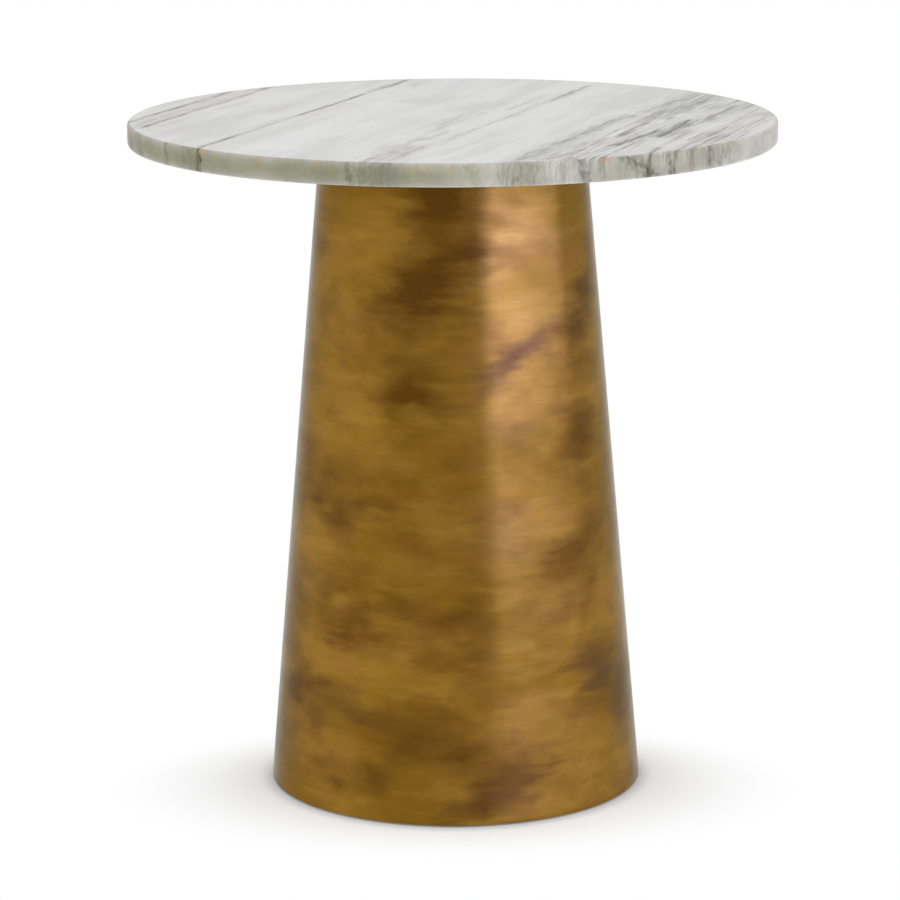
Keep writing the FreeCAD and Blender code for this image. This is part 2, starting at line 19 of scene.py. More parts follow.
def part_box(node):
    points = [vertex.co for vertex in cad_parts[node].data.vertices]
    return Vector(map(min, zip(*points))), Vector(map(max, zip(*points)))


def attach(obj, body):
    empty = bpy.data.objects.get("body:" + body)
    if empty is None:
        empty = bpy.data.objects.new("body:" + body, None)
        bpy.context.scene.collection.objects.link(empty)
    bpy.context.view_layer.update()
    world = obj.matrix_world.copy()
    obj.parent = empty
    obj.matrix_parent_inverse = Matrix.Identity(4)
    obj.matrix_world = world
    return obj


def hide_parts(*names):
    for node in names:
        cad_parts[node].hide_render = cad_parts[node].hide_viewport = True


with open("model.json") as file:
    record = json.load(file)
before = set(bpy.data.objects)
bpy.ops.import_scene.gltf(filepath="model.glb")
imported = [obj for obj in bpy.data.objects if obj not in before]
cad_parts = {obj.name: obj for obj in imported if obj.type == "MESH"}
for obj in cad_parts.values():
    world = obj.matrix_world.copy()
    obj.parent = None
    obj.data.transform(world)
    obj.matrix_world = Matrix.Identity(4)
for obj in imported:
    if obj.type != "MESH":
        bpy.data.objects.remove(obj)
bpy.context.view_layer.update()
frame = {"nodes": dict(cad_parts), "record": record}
NODES = frame["nodes"]
MILLIMETRE = 0.001
GLIDES = range(1, 5)

# %% [markdown]
# Colours in this lesson are written as they look on a screen, from 0 to 255. Blender mixes light in linear
# values, so each written colour is converted once. The small helpers below keep node trees readable: `add`
# makes a node, `feed` gives a socket a value or a link, and `work` is one step of arithmetic.

# %% Helpers for node trees
SCREEN_STEPS = 255
SCREEN_KNEE = 0.04045
SCREEN_SLOPE = 12.92
SCREEN_OFFSET = 0.055
SCREEN_POWER = 2.4


def seen(red, green, blue):
    """A colour as it looks on a screen, in Blender's linear values, with full opacity."""
    linear = []
    for step in (red, green, blue):
        share = step / SCREEN_STEPS
        curved = ((share + SCREEN_OFFSET) / (1 + SCREEN_OFFSET)) ** SCREEN_POWER
        linear.append(share / SCREEN_SLOPE if share <= SCREEN_KNEE else curved)
    return (*linear, 1)


def add(tree, kind, **settings):
    """A new node of this kind in the tree, with its settings."""
    node = tree.nodes.new(kind)
    for name, setting in settings.items():
        setattr(node, name, setting)
    return node


def feed(tree, socket, source):
    """Give an input socket a plain value, or link another socket to it."""
    if isinstance(source, bpy.types.NodeSocket):
        tree.links.new(source, socket)
    else:
        socket.default_value = source


def feed_all(tree, node, *in_order, **by_name):
    """Feed a node's inputs, the first ones in order and others by name, with _ for each space."""
    for socket, source in zip(node.inputs, in_order):
        feed(tree, socket, source)
    for name, source in by_name.items():
        feed(tree, node.inputs[name.replace("_", " ")], source)
    return node


def add_fed(tree, kind, **sources):
    """A new node whose named inputs are fed."""
    return feed_all(tree, tree.nodes.new(kind), **sources)


def work(tree, operation, *values):
    """One Math node, and its result."""
    return feed_all(tree, add(tree, "ShaderNodeMath", operation=operation), *values).outputs[0]


def plus(tree, first, second):
    """The sum of two values."""
    return work(tree, "ADD", first, second)


def minus(tree, first, second):
    """What is left of the first value without the second."""
    return work(tree, "SUBTRACT", first, second)


def times(tree, product, *factors):
    """The product of two or more values."""
    for factor in factors:
        product = work(tree, "MULTIPLY", product, factor)
    return product


def times_plus(tree, first, second, third):
    """The product of two values, with a third added."""
    return work(tree, "MULTIPLY_ADD", first, second, third)


def moved(tree, base, mover, amount):
    """A base that a value from 0 to 1 moves down or up, by half an amount at most."""
    return times_plus(tree, minus(tree, mover, 0.5), amount, base)


def vector_work(tree, operation, *values):
    """One Vector Math node, and its result."""
    node = feed_all(tree, add(tree, "ShaderNodeVectorMath", operation=operation), *values)
    return node.outputs["Value"] if operation in ("DOT_PRODUCT", "LENGTH") else node.outputs["Vector"]


def scaled(tree, place, factor):
    """A vector made longer by a factor."""
    node = add(tree, "ShaderNodeVectorMath", operation="SCALE")
    return feed_all(tree, node, place, Scale=factor).outputs["Vector"]


def split(tree, place):
    """The three parts of a vector."""
    return add_fed(tree, "ShaderNodeSeparateXYZ", Vector=place).outputs


def join(tree, across, along, up):
    """A vector from its three parts."""
    return add_fed(tree, "ShaderNodeCombineXYZ", X=across, Y=along, Z=up).outputs[0]


def ramp(tree, source, low, high, bottom=0, top=1, smooth=True):
    """Map a value from low..high to bottom..top, without going past either end."""
    kind = "SMOOTHSTEP" if smooth else "LINEAR"
    node = add(tree, "ShaderNodeMapRange", interpolation_type=kind, clamp=not smooth)
    return feed_all(tree, node, source, low, high, bottom, top).outputs["Result"]


def noise(tree, place, scale=1, detail=2, rough=0.5):
    """Soft noise from 0 to 1 at a place."""
    node = add(tree, "ShaderNodeTexNoise", noise_dimensions="3D")
    return feed_all(tree, node, Vector=place, Scale=scale, Detail=detail, Roughness=rough).outputs["Fac"]


def blend(tree, share, first, second, kind="MIX"):
    """Mix two colours."""
    node = add(tree, "ShaderNodeMix", data_type="RGBA", blend_type=kind)
    return feed_all(tree, node, Factor=share, A=first, B=second).outputs["Result"]


def tinted(tree, colour, tint, mask, strength):
    """A colour that goes towards a tint where a mask is strong."""
    return blend(tree, times(tree, mask, strength), colour, tint)


def shaded(tree, colour, light):
    """A colour made darker or paler by a factor."""
    return blend(tree, 1, colour, join(tree, light, light, light), "MULTIPLY")


print("white paper looks like", [round(part, 3) for part in seen(240, 240, 240)])

# %% [markdown]
# The camera stands at the viewing angle of the photograph: a long lens, a little above the slab. Its place
# was fitted to the ends of the slab and the drum's rims, with a very small turn and roll of the picture.

# %% Camera
CAMERA_DISTANCE = 2.6868
CAMERA_HEIGHT = 0.8329
CAMERA_PITCH = math.radians(12.443)
CAMERA_TURN = math.radians(0.064)
CAMERA_ROLL = math.radians(-0.298)
CAMERA_FAR_LIMIT = 50
SENSOR_WIDTH_MM = 36
LENS_MM = 153.36

camera_data = bpy.data.cameras.new("camera")
camera_data.sensor_width = SENSOR_WIDTH_MM
camera_data.lens = LENS_MM
camera_data.clip_end = CAMERA_FAR_LIMIT
camera = bpy.data.objects.new("camera", camera_data)
bpy.context.collection.objects.link(camera)
camera_turns = (
    Matrix.Rotation(CAMERA_TURN, 4, "Z")
    @ Matrix.Rotation(math.pi / 2 - CAMERA_PITCH, 4, "X")
    @ Matrix.Rotation(CAMERA_ROLL, 4, "Z")
)
camera.matrix_world = Matrix.Translation((0, -CAMERA_DISTANCE, CAMERA_HEIGHT)) @ camera_turns
bpy.context.scene.camera = camera
print("camera at", [round(part, 3) for part in camera.matrix_world.translation])

# %% [markdown]
# The studio is white all round. The world looks white to the camera and in reflections, but lights the table
# more softly. Behind the camera the room is darker, which is the dark stripe down the middle of the brass.

# %% World
ROOM_LIGHT = 0.42
ROOM_DARK = 0.6
ROOM_DARK_FACING = (-0.16, -0.98, 0.12)
ROOM_DARK_FROM = 0.55

world = bpy.data.worlds.new("studio")
world.use_nodes = True
bpy.context.scene.world = world
bpy.context.scene.view_settings.view_transform = "Standard"
room = world.node_tree
room.nodes.clear()
facing = add(room, "ShaderNodeTexCoord").outputs["Generated"]
towards_dark = vector_work(room, "DOT_PRODUCT", facing, ROOM_DARK_FACING)
darkness = ramp(room, towards_dark, ROOM_DARK_FROM, 1)
path = add(room, "ShaderNodeLightPath").outputs
mirrored = work(room, "MAXIMUM", path["Is Glossy Ray"], path["Is Transmission Ray"])
looked_at = work(room, "MAXIMUM", mirrored, path["Is Camera Ray"])
shown = minus(room, 1, times(room, darkness, 1 - ROOM_DARK))
shown = work(room, "MAXIMUM", shown, path["Is Camera Ray"])
lighting = times(room, minus(room, 1, looked_at), ROOM_LIGHT)
strength = plus(room, times(room, looked_at, shown), lighting)
background = add_fed(room, "ShaderNodeBackground", Color=(1, 1, 1, 1), Strength=strength)
add_fed(room, "ShaderNodeOutputWorld", Surface=background.outputs[0])
print("room light:", ROOM_LIGHT)

# %% [markdown]
# The floor is pale and matt, and glows a little. Far from the table the glow takes over, so that no horizon
# shows. To the camera the floor is paler still, and turns plain white outside an oval round the drum's foot,
# where the table's soft shadow is kept. From below it is clear, so that the table's underside can be seen.

# %% Floor
FLOOR_REACH = 14
FLOOR_PALE = (0.8, 0.8, 0.8, 1)
FLOOR_FOR_CAMERA = (1.23, 1.26, 1.29, 1)
FLOOR_GLOW = 0.55
FLOOR_GLOW_FOR_CAMERA = 0.12
PAINTED_CONTACT_SHADOW_REACH = 0.012
FLOOR_NEAR = 0.5
FLOOR_FAR = 2.0
SHADOW_OVAL = (0.265, 0.178)
SHADOW_IN_FRONT = 0.05
SHADOW_FADE_FROM = 0.45
SHADOW_FADE_TO = 1.0
BLACK = (0, 0, 0, 1)


def new_piece(name, points, edges=(), faces=()):
    """A new object with a mesh of its own."""
    mesh = bpy.data.meshes.new(name)
    mesh.from_pydata(points, edges, faces)
    piece = bpy.data.objects.new(name, mesh)
    bpy.context.collection.objects.link(piece)
    return piece


floor_finish = bpy.data.materials.new("studio_floor")
floor_finish.use_nodes = True
ground = floor_finish.node_tree
ground.nodes.clear()
floor_place = add(ground, "ShaderNodeTexCoord").outputs["Object"]
by_camera = add(ground, "ShaderNodeLightPath").outputs["Is Camera Ray"]
lit_far = ramp(ground, vector_work(ground, "LENGTH", floor_place), FLOOR_NEAR, FLOOR_FAR)
from_shadow = vector_work(ground, "ADD", floor_place, (0, SHADOW_IN_FRONT, 0))
oval = vector_work(ground, "DIVIDE", from_shadow, (*SHADOW_OVAL, 1))
seen_far = ramp(ground, vector_work(ground, "LENGTH", oval), SHADOW_FADE_FROM, SHADOW_FADE_TO)
far = ramp(ground, by_camera, 0, 1, lit_far, seen_far, smooth=False)
# Near the drum's foot an ambient occlusion node darkens the floor's colour: a painted contact shadow.
painted_contact_shadow = add_fed(ground, "ShaderNodeAmbientOcclusion", Distance=PAINTED_CONTACT_SHADOW_REACH).outputs["AO"]
pale = shaded(ground, blend(ground, by_camera, FLOOR_PALE, FLOOR_FOR_CAMERA), painted_contact_shadow)
matt = add_fed(ground, "ShaderNodeBsdfDiffuse", Color=blend(ground, far, pale, BLACK))
near_glow = ramp(ground, by_camera, 0, 1, FLOOR_GLOW, FLOOR_GLOW_FOR_CAMERA, smooth=False)
glow = add_fed(ground, "ShaderNodeEmission", Strength=ramp(ground, far, 0, 1, near_glow, 1, smooth=False))
both = feed_all(ground, add(ground, "ShaderNodeAddShader"), matt.outputs[0], glow.outputs[0])
from_below = add(ground, "ShaderNodeNewGeometry").outputs["Backfacing"]
clear = add(ground, "ShaderNodeBsdfTransparent").outputs[0]
one_sided = feed_all(ground, add(ground, "ShaderNodeMixShader"), from_below, both.outputs[0], clear)
add_fed(ground, "ShaderNodeOutputMaterial", Surface=one_sided.outputs[0])

corners = [(x * FLOOR_REACH, y * FLOOR_REACH, 0) for x, y in ((-1, -1), (1, -1), (1, 1), (-1, 1))]
floor = new_piece("studio_floor", corners, faces=[(0, 1, 2, 3)])
floor.data.materials.append(floor_finish)
print("floor reaches", FLOOR_REACH, "m each way")

# %% [markdown]
# Two lamps are enough. A soft box hangs overhead, a little in front of the table, so that the slab's shadow
# falls round the drum and behind it. A tall card on the right lights the drum alone, by light linking. Its
# near side fades in, its far side stops short and its foot is dim. The brass mirrors it as a band of light
# that is soft on the left, crisp on the right and weaker lower down. The card is bluish, which takes some of
# the yellow out of that band.

# %% Lamps
OVERHEAD_PLACE = (0, -1.0, 3.0)
OVERHEAD_WIDTH = 1.4
OVERHEAD_POWER = 34
CARD_DISTANCE = 1.5
CARD_ANGLE = math.radians(57)
CARD_HALF_SPREAD = math.radians(38)
CARD_LOW = 0.46
CARD_HIGH = 0.90
CARD_POWER = 91
CARD_COLOUR = (0.233, 0.267, 1.0)
CARD_FADE_IN = 0.24
CARD_FAR_SIDE = 0.34
CARD_DIM_FOOT = 0.05


def area_lamp(name, place, target, width, height, power):
    """A rectangular lamp that faces a target."""
    data = bpy.data.lights.new(name, "AREA")
    data.shape = "RECTANGLE"
    data.size = width
    data.size_y = height
    data.energy = power
    lamp = bpy.data.objects.new(name, data)
    facing_turn = (Vector(target) - Vector(place)).to_track_quat("-Z", "Y")
    lamp.matrix_world = Matrix.Translation(place) @ facing_turn.to_matrix().to_4x4()
    bpy.context.collection.objects.link(lamp)
    return lamp


area_lamp("overhead", OVERHEAD_PLACE, (0, 0, 0), OVERHEAD_WIDTH, OVERHEAD_WIDTH, OVERHEAD_POWER)
card_middle = (CARD_LOW + CARD_HIGH) / 2
card_place = (CARD_DISTANCE * math.sin(CARD_ANGLE), -CARD_DISTANCE * math.cos(CARD_ANGLE), card_middle)
card_width = 2 * CARD_DISTANCE * math.tan(CARD_HALF_SPREAD)
card_height = CARD_HIGH - CARD_LOW
card = area_lamp("right_card", card_place, (0, 0, card_middle), card_width, card_height, CARD_POWER)
card.data.color = CARD_COLOUR
card_lights = bpy.data.collections.new("lit_by_card")
card.light_linking.receiver_collection = card_lights
card.data.use_nodes = True
shade = card.data.node_tree
across_card, up_card, _ = split(shade, add(shade, "ShaderNodeNewGeometry").outputs["Parametric"])
fade_in = ramp(shade, across_card, 0, CARD_FADE_IN)
fall_off = ramp(shade, across_card, CARD_FADE_IN, 1, 1, CARD_FAR_SIDE, smooth=False)
foot_fade = ramp(shade, up_card, 0, CARD_DIM_FOOT)
matt_bounces = add(shade, "ShaderNodeLightPath").outputs["Diffuse Depth"]
direct = work(shade, "LESS_THAN", matt_bounces, 1)
feed_all(shade, shade.nodes["Emission"], Strength=times(shade, fade_in, fall_off, foot_fade, direct))
print("card stands at", [round(part, 2) for part in card_place], "and is", round(card_width, 2), "m wide")

# %% [markdown]
# The slab and the drum are both turned shapes: one outline, spun about the table's axis. The outline is
# drawn as a line of points, and a Geometry Nodes tree spins it. A grid of points gets one row for each point
# of the outline and one column for each step round, and every point is moved to its place. The Screw
# modifier could spin it too, but the tree also closes the seam, lets the wall stray a little as hand-rolled
# sheet does, cuts a thread where one is asked for, and takes the finish as an input.

# %% The lathe tree
MERGE_DISTANCE = 0.001 * MILLIMETRE
FLAT_FACE = 0.9999


def new_group(name, kind, inputs, output, output_kind):
    """A node group with named sockets, and what comes in."""
    tree = bpy.data.node_groups.new(name, kind)
    for socket, socket_kind in inputs.items():
        tree.interface.new_socket(socket, in_out="INPUT", socket_type="NodeSocket" + socket_kind)
    tree.interface.new_socket(output, in_out="OUTPUT", socket_type="NodeSocket" + output_kind)
    return tree, add(tree, "NodeGroupInput").outputs


def finish_group(tree, result):
    """Put a group's result out."""
    feed_all(tree, add(tree, "NodeGroupOutput"), result)
    return tree


def finish_shape(tree, shape, finish):
    """Make a tree's shape real, give it its finish and put it out."""
    tree.is_modifier = True
    real = add_fed(tree, "GeometryNodeRealizeInstances", Geometry=shape.outputs[0])
    dressed = add_fed(tree, "GeometryNodeSetMaterial", Geometry=real.outputs[0], Material=finish)
    return finish_group(tree, dressed.outputs[0])


def whole(tree, operation, first, second):
    """One step of arithmetic on whole numbers."""
    node = add(tree, "FunctionNodeIntegerMath", operation=operation)
    return feed_all(tree, node, first, second).outputs[0]


def make_lathe():
    """A tree that spins an outline in the XZ plane about the Z axis."""
    inputs = {"Outline": "Geometry", "Steps Round": "Int", "Closed Outline": "Int", "Stray": "Float",
              "Stray Width": "Float", "Thread Depth": "Float", "Thread Pitch": "Float",
              "Thread Low": "Float", "Thread High": "Float", "Finish": "Material"}
    tree, given = new_group("lathe", "GeometryNodeTree", inputs, "Turned Piece", "Geometry")
    outline = given["Outline"]
    count = add_fed(tree, "GeometryNodeAttributeDomainSize", Geometry=outline).outputs["Point Count"]
    rows = whole(tree, "ADD", count, given["Closed Outline"])
    columns = whole(tree, "ADD", given["Steps Round"], 1)
    grid = add_fed(tree, "GeometryNodeMeshGrid", Vertices_X=columns, Vertices_Y=rows)
    index = add(tree, "GeometryNodeInputIndex").outputs[0]
    row = whole(tree, "MODULO", whole(tree, "MODULO", index, rows), count)
    column = whole(tree, "DIVIDE_FLOOR", index, rows)
    here = add(tree, "GeometryNodeInputPosition").outputs[0]
    picked = add(tree, "GeometryNodeSampleIndex", data_type="FLOAT_VECTOR", domain="POINT")
    feed_all(tree, picked, Geometry=outline, Value=here, Index=row)
    turn = times(tree, work(tree, "DIVIDE", column, given["Steps Round"]), 2 * math.pi)
    rotated = add(tree, "ShaderNodeVectorRotate", rotation_type="Z_AXIS")
    spun = feed_all(tree, rotated, Vector=picked.outputs["Value"], Angle=turn).outputs[0]
    width = given["Stray Width"]
    waves = noise(tree, vector_work(tree, "DIVIDE", spun, join(tree, width, width, width)))
    outward = vector_work(tree, "NORMALIZE", vector_work(tree, "MULTIPLY", spun, (1, 1, 0)))
    stray = times(tree, minus(tree, waves, 0.5), given["Stray"])
    level = split(tree, spun)[2]
    turns_up = work(tree, "DIVIDE", level, given["Thread Pitch"])
    turns_round = work(tree, "DIVIDE", turn, 2 * math.pi)
    groove = work(tree, "PINGPONG", times(tree, minus(tree, turns_up, turns_round), 2), 1)
    threaded = times(tree, work(tree, "GREATER_THAN", level, given["Thread Low"]),
                     work(tree, "LESS_THAN", level, given["Thread High"]))
    stray = minus(tree, stray, times(tree, groove, threaded, given["Thread Depth"]))
    offset = vector_work(tree, "MULTIPLY", outward, join(tree, stray, stray, stray))
    placed = add_fed(tree, "GeometryNodeSetPosition", Geometry=grid.outputs["Mesh"], Position=spun,
                     Offset=offset)
    merged = add_fed(tree, "GeometryNodeMergeByDistance", Geometry=placed.outputs[0], Distance=MERGE_DISTANCE)
    upright = split(tree, add(tree, "GeometryNodeInputNormal").outputs[0])[2]
    curved = work(tree, "LESS_THAN", work(tree, "ABSOLUTE", upright), FLAT_FACE)
    smooth = add_fed(tree, "GeometryNodeSetShadeSmooth", Geometry=merged.outputs[0], Selection=True,
                     Shade_Smooth=curved)
    return finish_shape(tree, smooth, given["Finish"])


LATHE = make_lathe()
print("lathe tree:", len(LATHE.nodes), "nodes")

# %% [markdown]
# A tree's inputs are set on the modifier by each socket's identifier. When the shape is right it is turned
# into a plain mesh, so that nothing is left to work out when the table moves. A closed shape with its faces
# pointing out has a positive volume, which is a quick test that it was spun the right way round.

# %% Spinning a piece
NO_THREAD = (0.0, 1.0, 0.0, 0.0)
CM_PER_METRE = 100


def plain_mesh(piece):
    """Turn a piece's evaluated shape into its own mesh, and drop its modifiers."""
    graph = bpy.context.evaluated_depsgraph_get()
    mesh = bpy.data.meshes.new_from_object(piece.evaluated_get(graph), depsgraph=graph)
    piece.modifiers.clear()
    piece.data = mesh
    mesh.name = piece.name


def run_tree(piece, tree, **values):
    """Run a tree on a piece with these inputs, and keep the result as a plain mesh."""
    modifier = piece.modifiers.new(tree.name, "NODES")
    modifier.node_group = tree
    for item in tree.interface.items_tree:
        key = item.name.replace(" ", "_").lower()
        if item.in_out == "INPUT" and key in values:
            modifier[item.identifier] = values[key]
    plain_mesh(piece)


def volume_of(piece):
    """The volume that a piece's faces close in, in cubic metres."""
    shape = bmesh.new()
    shape.from_mesh(piece.data)
    volume = shape.calc_volume(signed=True)
    shape.free()
    return volume


def in_a_row(first, last):
    """Edges that join points in a row, by their numbers."""
    return [(number, number + 1) for number in range(first, last)]


def spin(name, outline, steps, closed, finish, stray=0.0, stray_width=1.0, thread=NO_THREAD):
    """Spin an outline of radius and height pairs, in metres, into a finished piece.

    A thread has a depth, a pitch, and the levels that it starts and stops at.
    """
    points = [(radius, 0, height) for radius, height in outline]
    piece = new_piece(name, points, in_a_row(0, len(points) - 1))
    depth, pitch, low, high = thread
    run_tree(piece, LATHE, steps_round=steps, closed_outline=int(closed), finish=finish,
             stray=stray, stray_width=stray_width,
             thread_depth=depth, thread_pitch=pitch, thread_low=low, thread_high=high)
    # The grid brings an empty material slot of its own, so the finish is put back as the only one
    piece.data.materials.clear()
    piece.data.materials.append(finish)
    faces = len(piece.data.polygons)
    print(name, faces, "faces,", round(volume_of(piece) * CM_PER_METRE ** 3), "cubic centimetres")
    return piece


def rim_radii(node, level):
    """Smallest and largest distance from the table's axis of a node's points at a level."""
    near = [point.co for point in NODES[node].data.vertices if abs(point.co.z - level) < MILLIMETRE / 10]
    distances = [math.hypot(point.x, point.y) for point in near]
    return min(distances), max(distances)


def quarter_round(centre, radius, start, steps):
    """Points on a quarter circle in the outline, from a start angle onwards."""
    points = []
    for step in range(steps + 1):
        angle = start + math.pi / 2 * step / steps
        points.append((centre[0] + radius * math.cos(angle), centre[1] + radius * math.sin(angle)))
    return points


def part_way(start, end, share):
    """A value between two others."""
    return start + (end - start) * share


print("lathe inputs:", [item.name for item in LATHE.interface.items_tree if item.in_out == "INPUT"])

# %% [markdown]
# Two effects turn up in more than one finish, so each is a shader node group with named inputs. Soft patches
# are cloudy blotches: tarnish on brass, oxide on steel, dust on foam. Fine lines are noise that is stretched
# along one direction: brush strokes, mill lines, saw marks, wood grain. Sizes are in millimetres, and the
# place that comes in is the Object coordinate in metres.

# %% Shared effects
MM_PER_METRE = 1000
DEGREES_PER_RADIAN = 180 / math.pi


def use(tree, group, *sources):
    """Place a group in a material, feed its inputs in order, and take its output."""
    return feed_all(tree, add(tree, "ShaderNodeGroup", node_tree=group), *sources).outputs[0]


def make_soft_patches():
    """Cloudy patches of one size, longer in some directions than in others."""
    inputs = {"Place": "Vector", "Size": "Vector", "Low": "Float", "High": "Float", "Raggedness": "Float"}
    tree, given = new_group("soft_patches", "ShaderNodeTree", inputs, "Mask", "Float")
    spot = vector_work(tree, "DIVIDE", scaled(tree, given["Place"], MM_PER_METRE), given["Size"])
    cloud = noise(tree, spot, 1, 4, given["Raggedness"])
    return finish_group(tree, ramp(tree, cloud, given["Low"], given["High"]))


def make_fine_lines():
    """Lines that are long one way and thin the other, from 0 to 1."""
    inputs = {"Place": "Vector", "Spacing": "Vector"}
    tree, given = new_group("fine_lines", "ShaderNodeTree", inputs, "Lines", "Float")
    spot = vector_work(tree, "DIVIDE", scaled(tree, given["Place"], MM_PER_METRE), given["Spacing"])
    return finish_group(tree, ramp(tree, noise(tree, spot, 1, 3, 0.6), 0.25, 0.75, smooth=False))


SOFT_PATCHES = make_soft_patches()
FINE_LINES = make_fine_lines()


def new_finish(name):
    """A material with its shader, its output linked, and its Object coordinate."""
    finish = bpy.data.materials.new(name)
    finish.use_nodes = True
    tree = finish.node_tree
    place = add(tree, "ShaderNodeTexCoord").outputs["Object"]
    return finish, tree, tree.nodes["Principled BSDF"], place


def bump(tree, shader, height, depth_mm):
    """Raise and lower a surface's shading by a height from 0 to 1 that stands for this depth."""
    node = add_fed(tree, "ShaderNodeBump", Height=height, Distance=depth_mm * MILLIMETRE, Strength=1)
    feed_all(tree, shader, Normal=node.outputs["Normal"])


print("shared effects:", SOFT_PATCHES.name, FINE_LINES.name)

# %% [markdown]
# The marble is white, with veins that all run one way because the stone was squeezed in its bed. Real veins
# are sheets of other minerals, so on the slab's edge each one shows as an upright streak. That comes by
# itself here: the pattern depends on where a point lies in plan, and hardly on its height. One vein is a
# small node group: a soft line at a place across the grain, with two ends, broken up by noise. Each vein is
# listed one by one.

# %% One vein of the stone
GRAIN_ANGLE = math.radians(70)
ACROSS_GRAIN = (math.sin(GRAIN_ANGLE), -math.cos(GRAIN_ANGLE), 0)
ALONG_GRAIN = (math.cos(GRAIN_ANGLE), math.sin(GRAIN_ANGLE), 0)
VEIN_END_FADE = 14
VEIN_FEATHER = 1.4
HALO_REACH = 3
HALO_STRENGTH = 0.22


def make_stone_vein():
    """A mask of one line in the stone, with feathered sides, by places across and along the grain."""
    names = ("Across", "Along", "Breaks", "Fibres",
             "Middle", "Lean", "Half Width", "Start", "End", "Patchiness")
    tree, given = new_group("stone_vein", "ShaderNodeTree", dict.fromkeys(names, "Float"), "Mask", "Float")
    along, half_width, start, end = (given[name] for name in ("Along", "Half Width", "Start", "End"))
    leaning = times_plus(tree, along, given["Lean"], given["Middle"])
    off = work(tree, "ABSOLUTE", minus(tree, given["Across"], leaning))
    feathered = times_plus(tree, given["Fibres"], half_width, off)
    core = ramp(tree, feathered, times(tree, half_width, VEIN_FEATHER), half_width)
    halo = ramp(tree, off, times(tree, half_width, HALO_REACH), 0)
    line = work(tree, "MAXIMUM", core, times(tree, halo, HALO_STRENGTH))
    late = plus(tree, start, VEIN_END_FADE)
    early = minus(tree, end, VEIN_END_FADE)
    length = times(tree, ramp(tree, along, start, late), ramp(tree, along, end, early))
    whole_share = minus(tree, 1, given["Patchiness"])
    broken = times_plus(tree, given["Breaks"], given["Patchiness"], whole_share)
    return finish_group(tree, times(tree, line, length, broken))


STONE_VEIN = make_stone_vein()

VEIN_TINTS = {
    "chalk": seen(238, 238, 238),
    "ink": seen(42, 43, 32),
    "umber": seen(66, 60, 44),
    "olive": seen(122, 118, 76),
    "moss": seen(130, 134, 110),
    "grey": seen(139, 138, 128),
    "mauve": seen(132, 122, 126),
    "rose": seen(172, 152, 146),
}

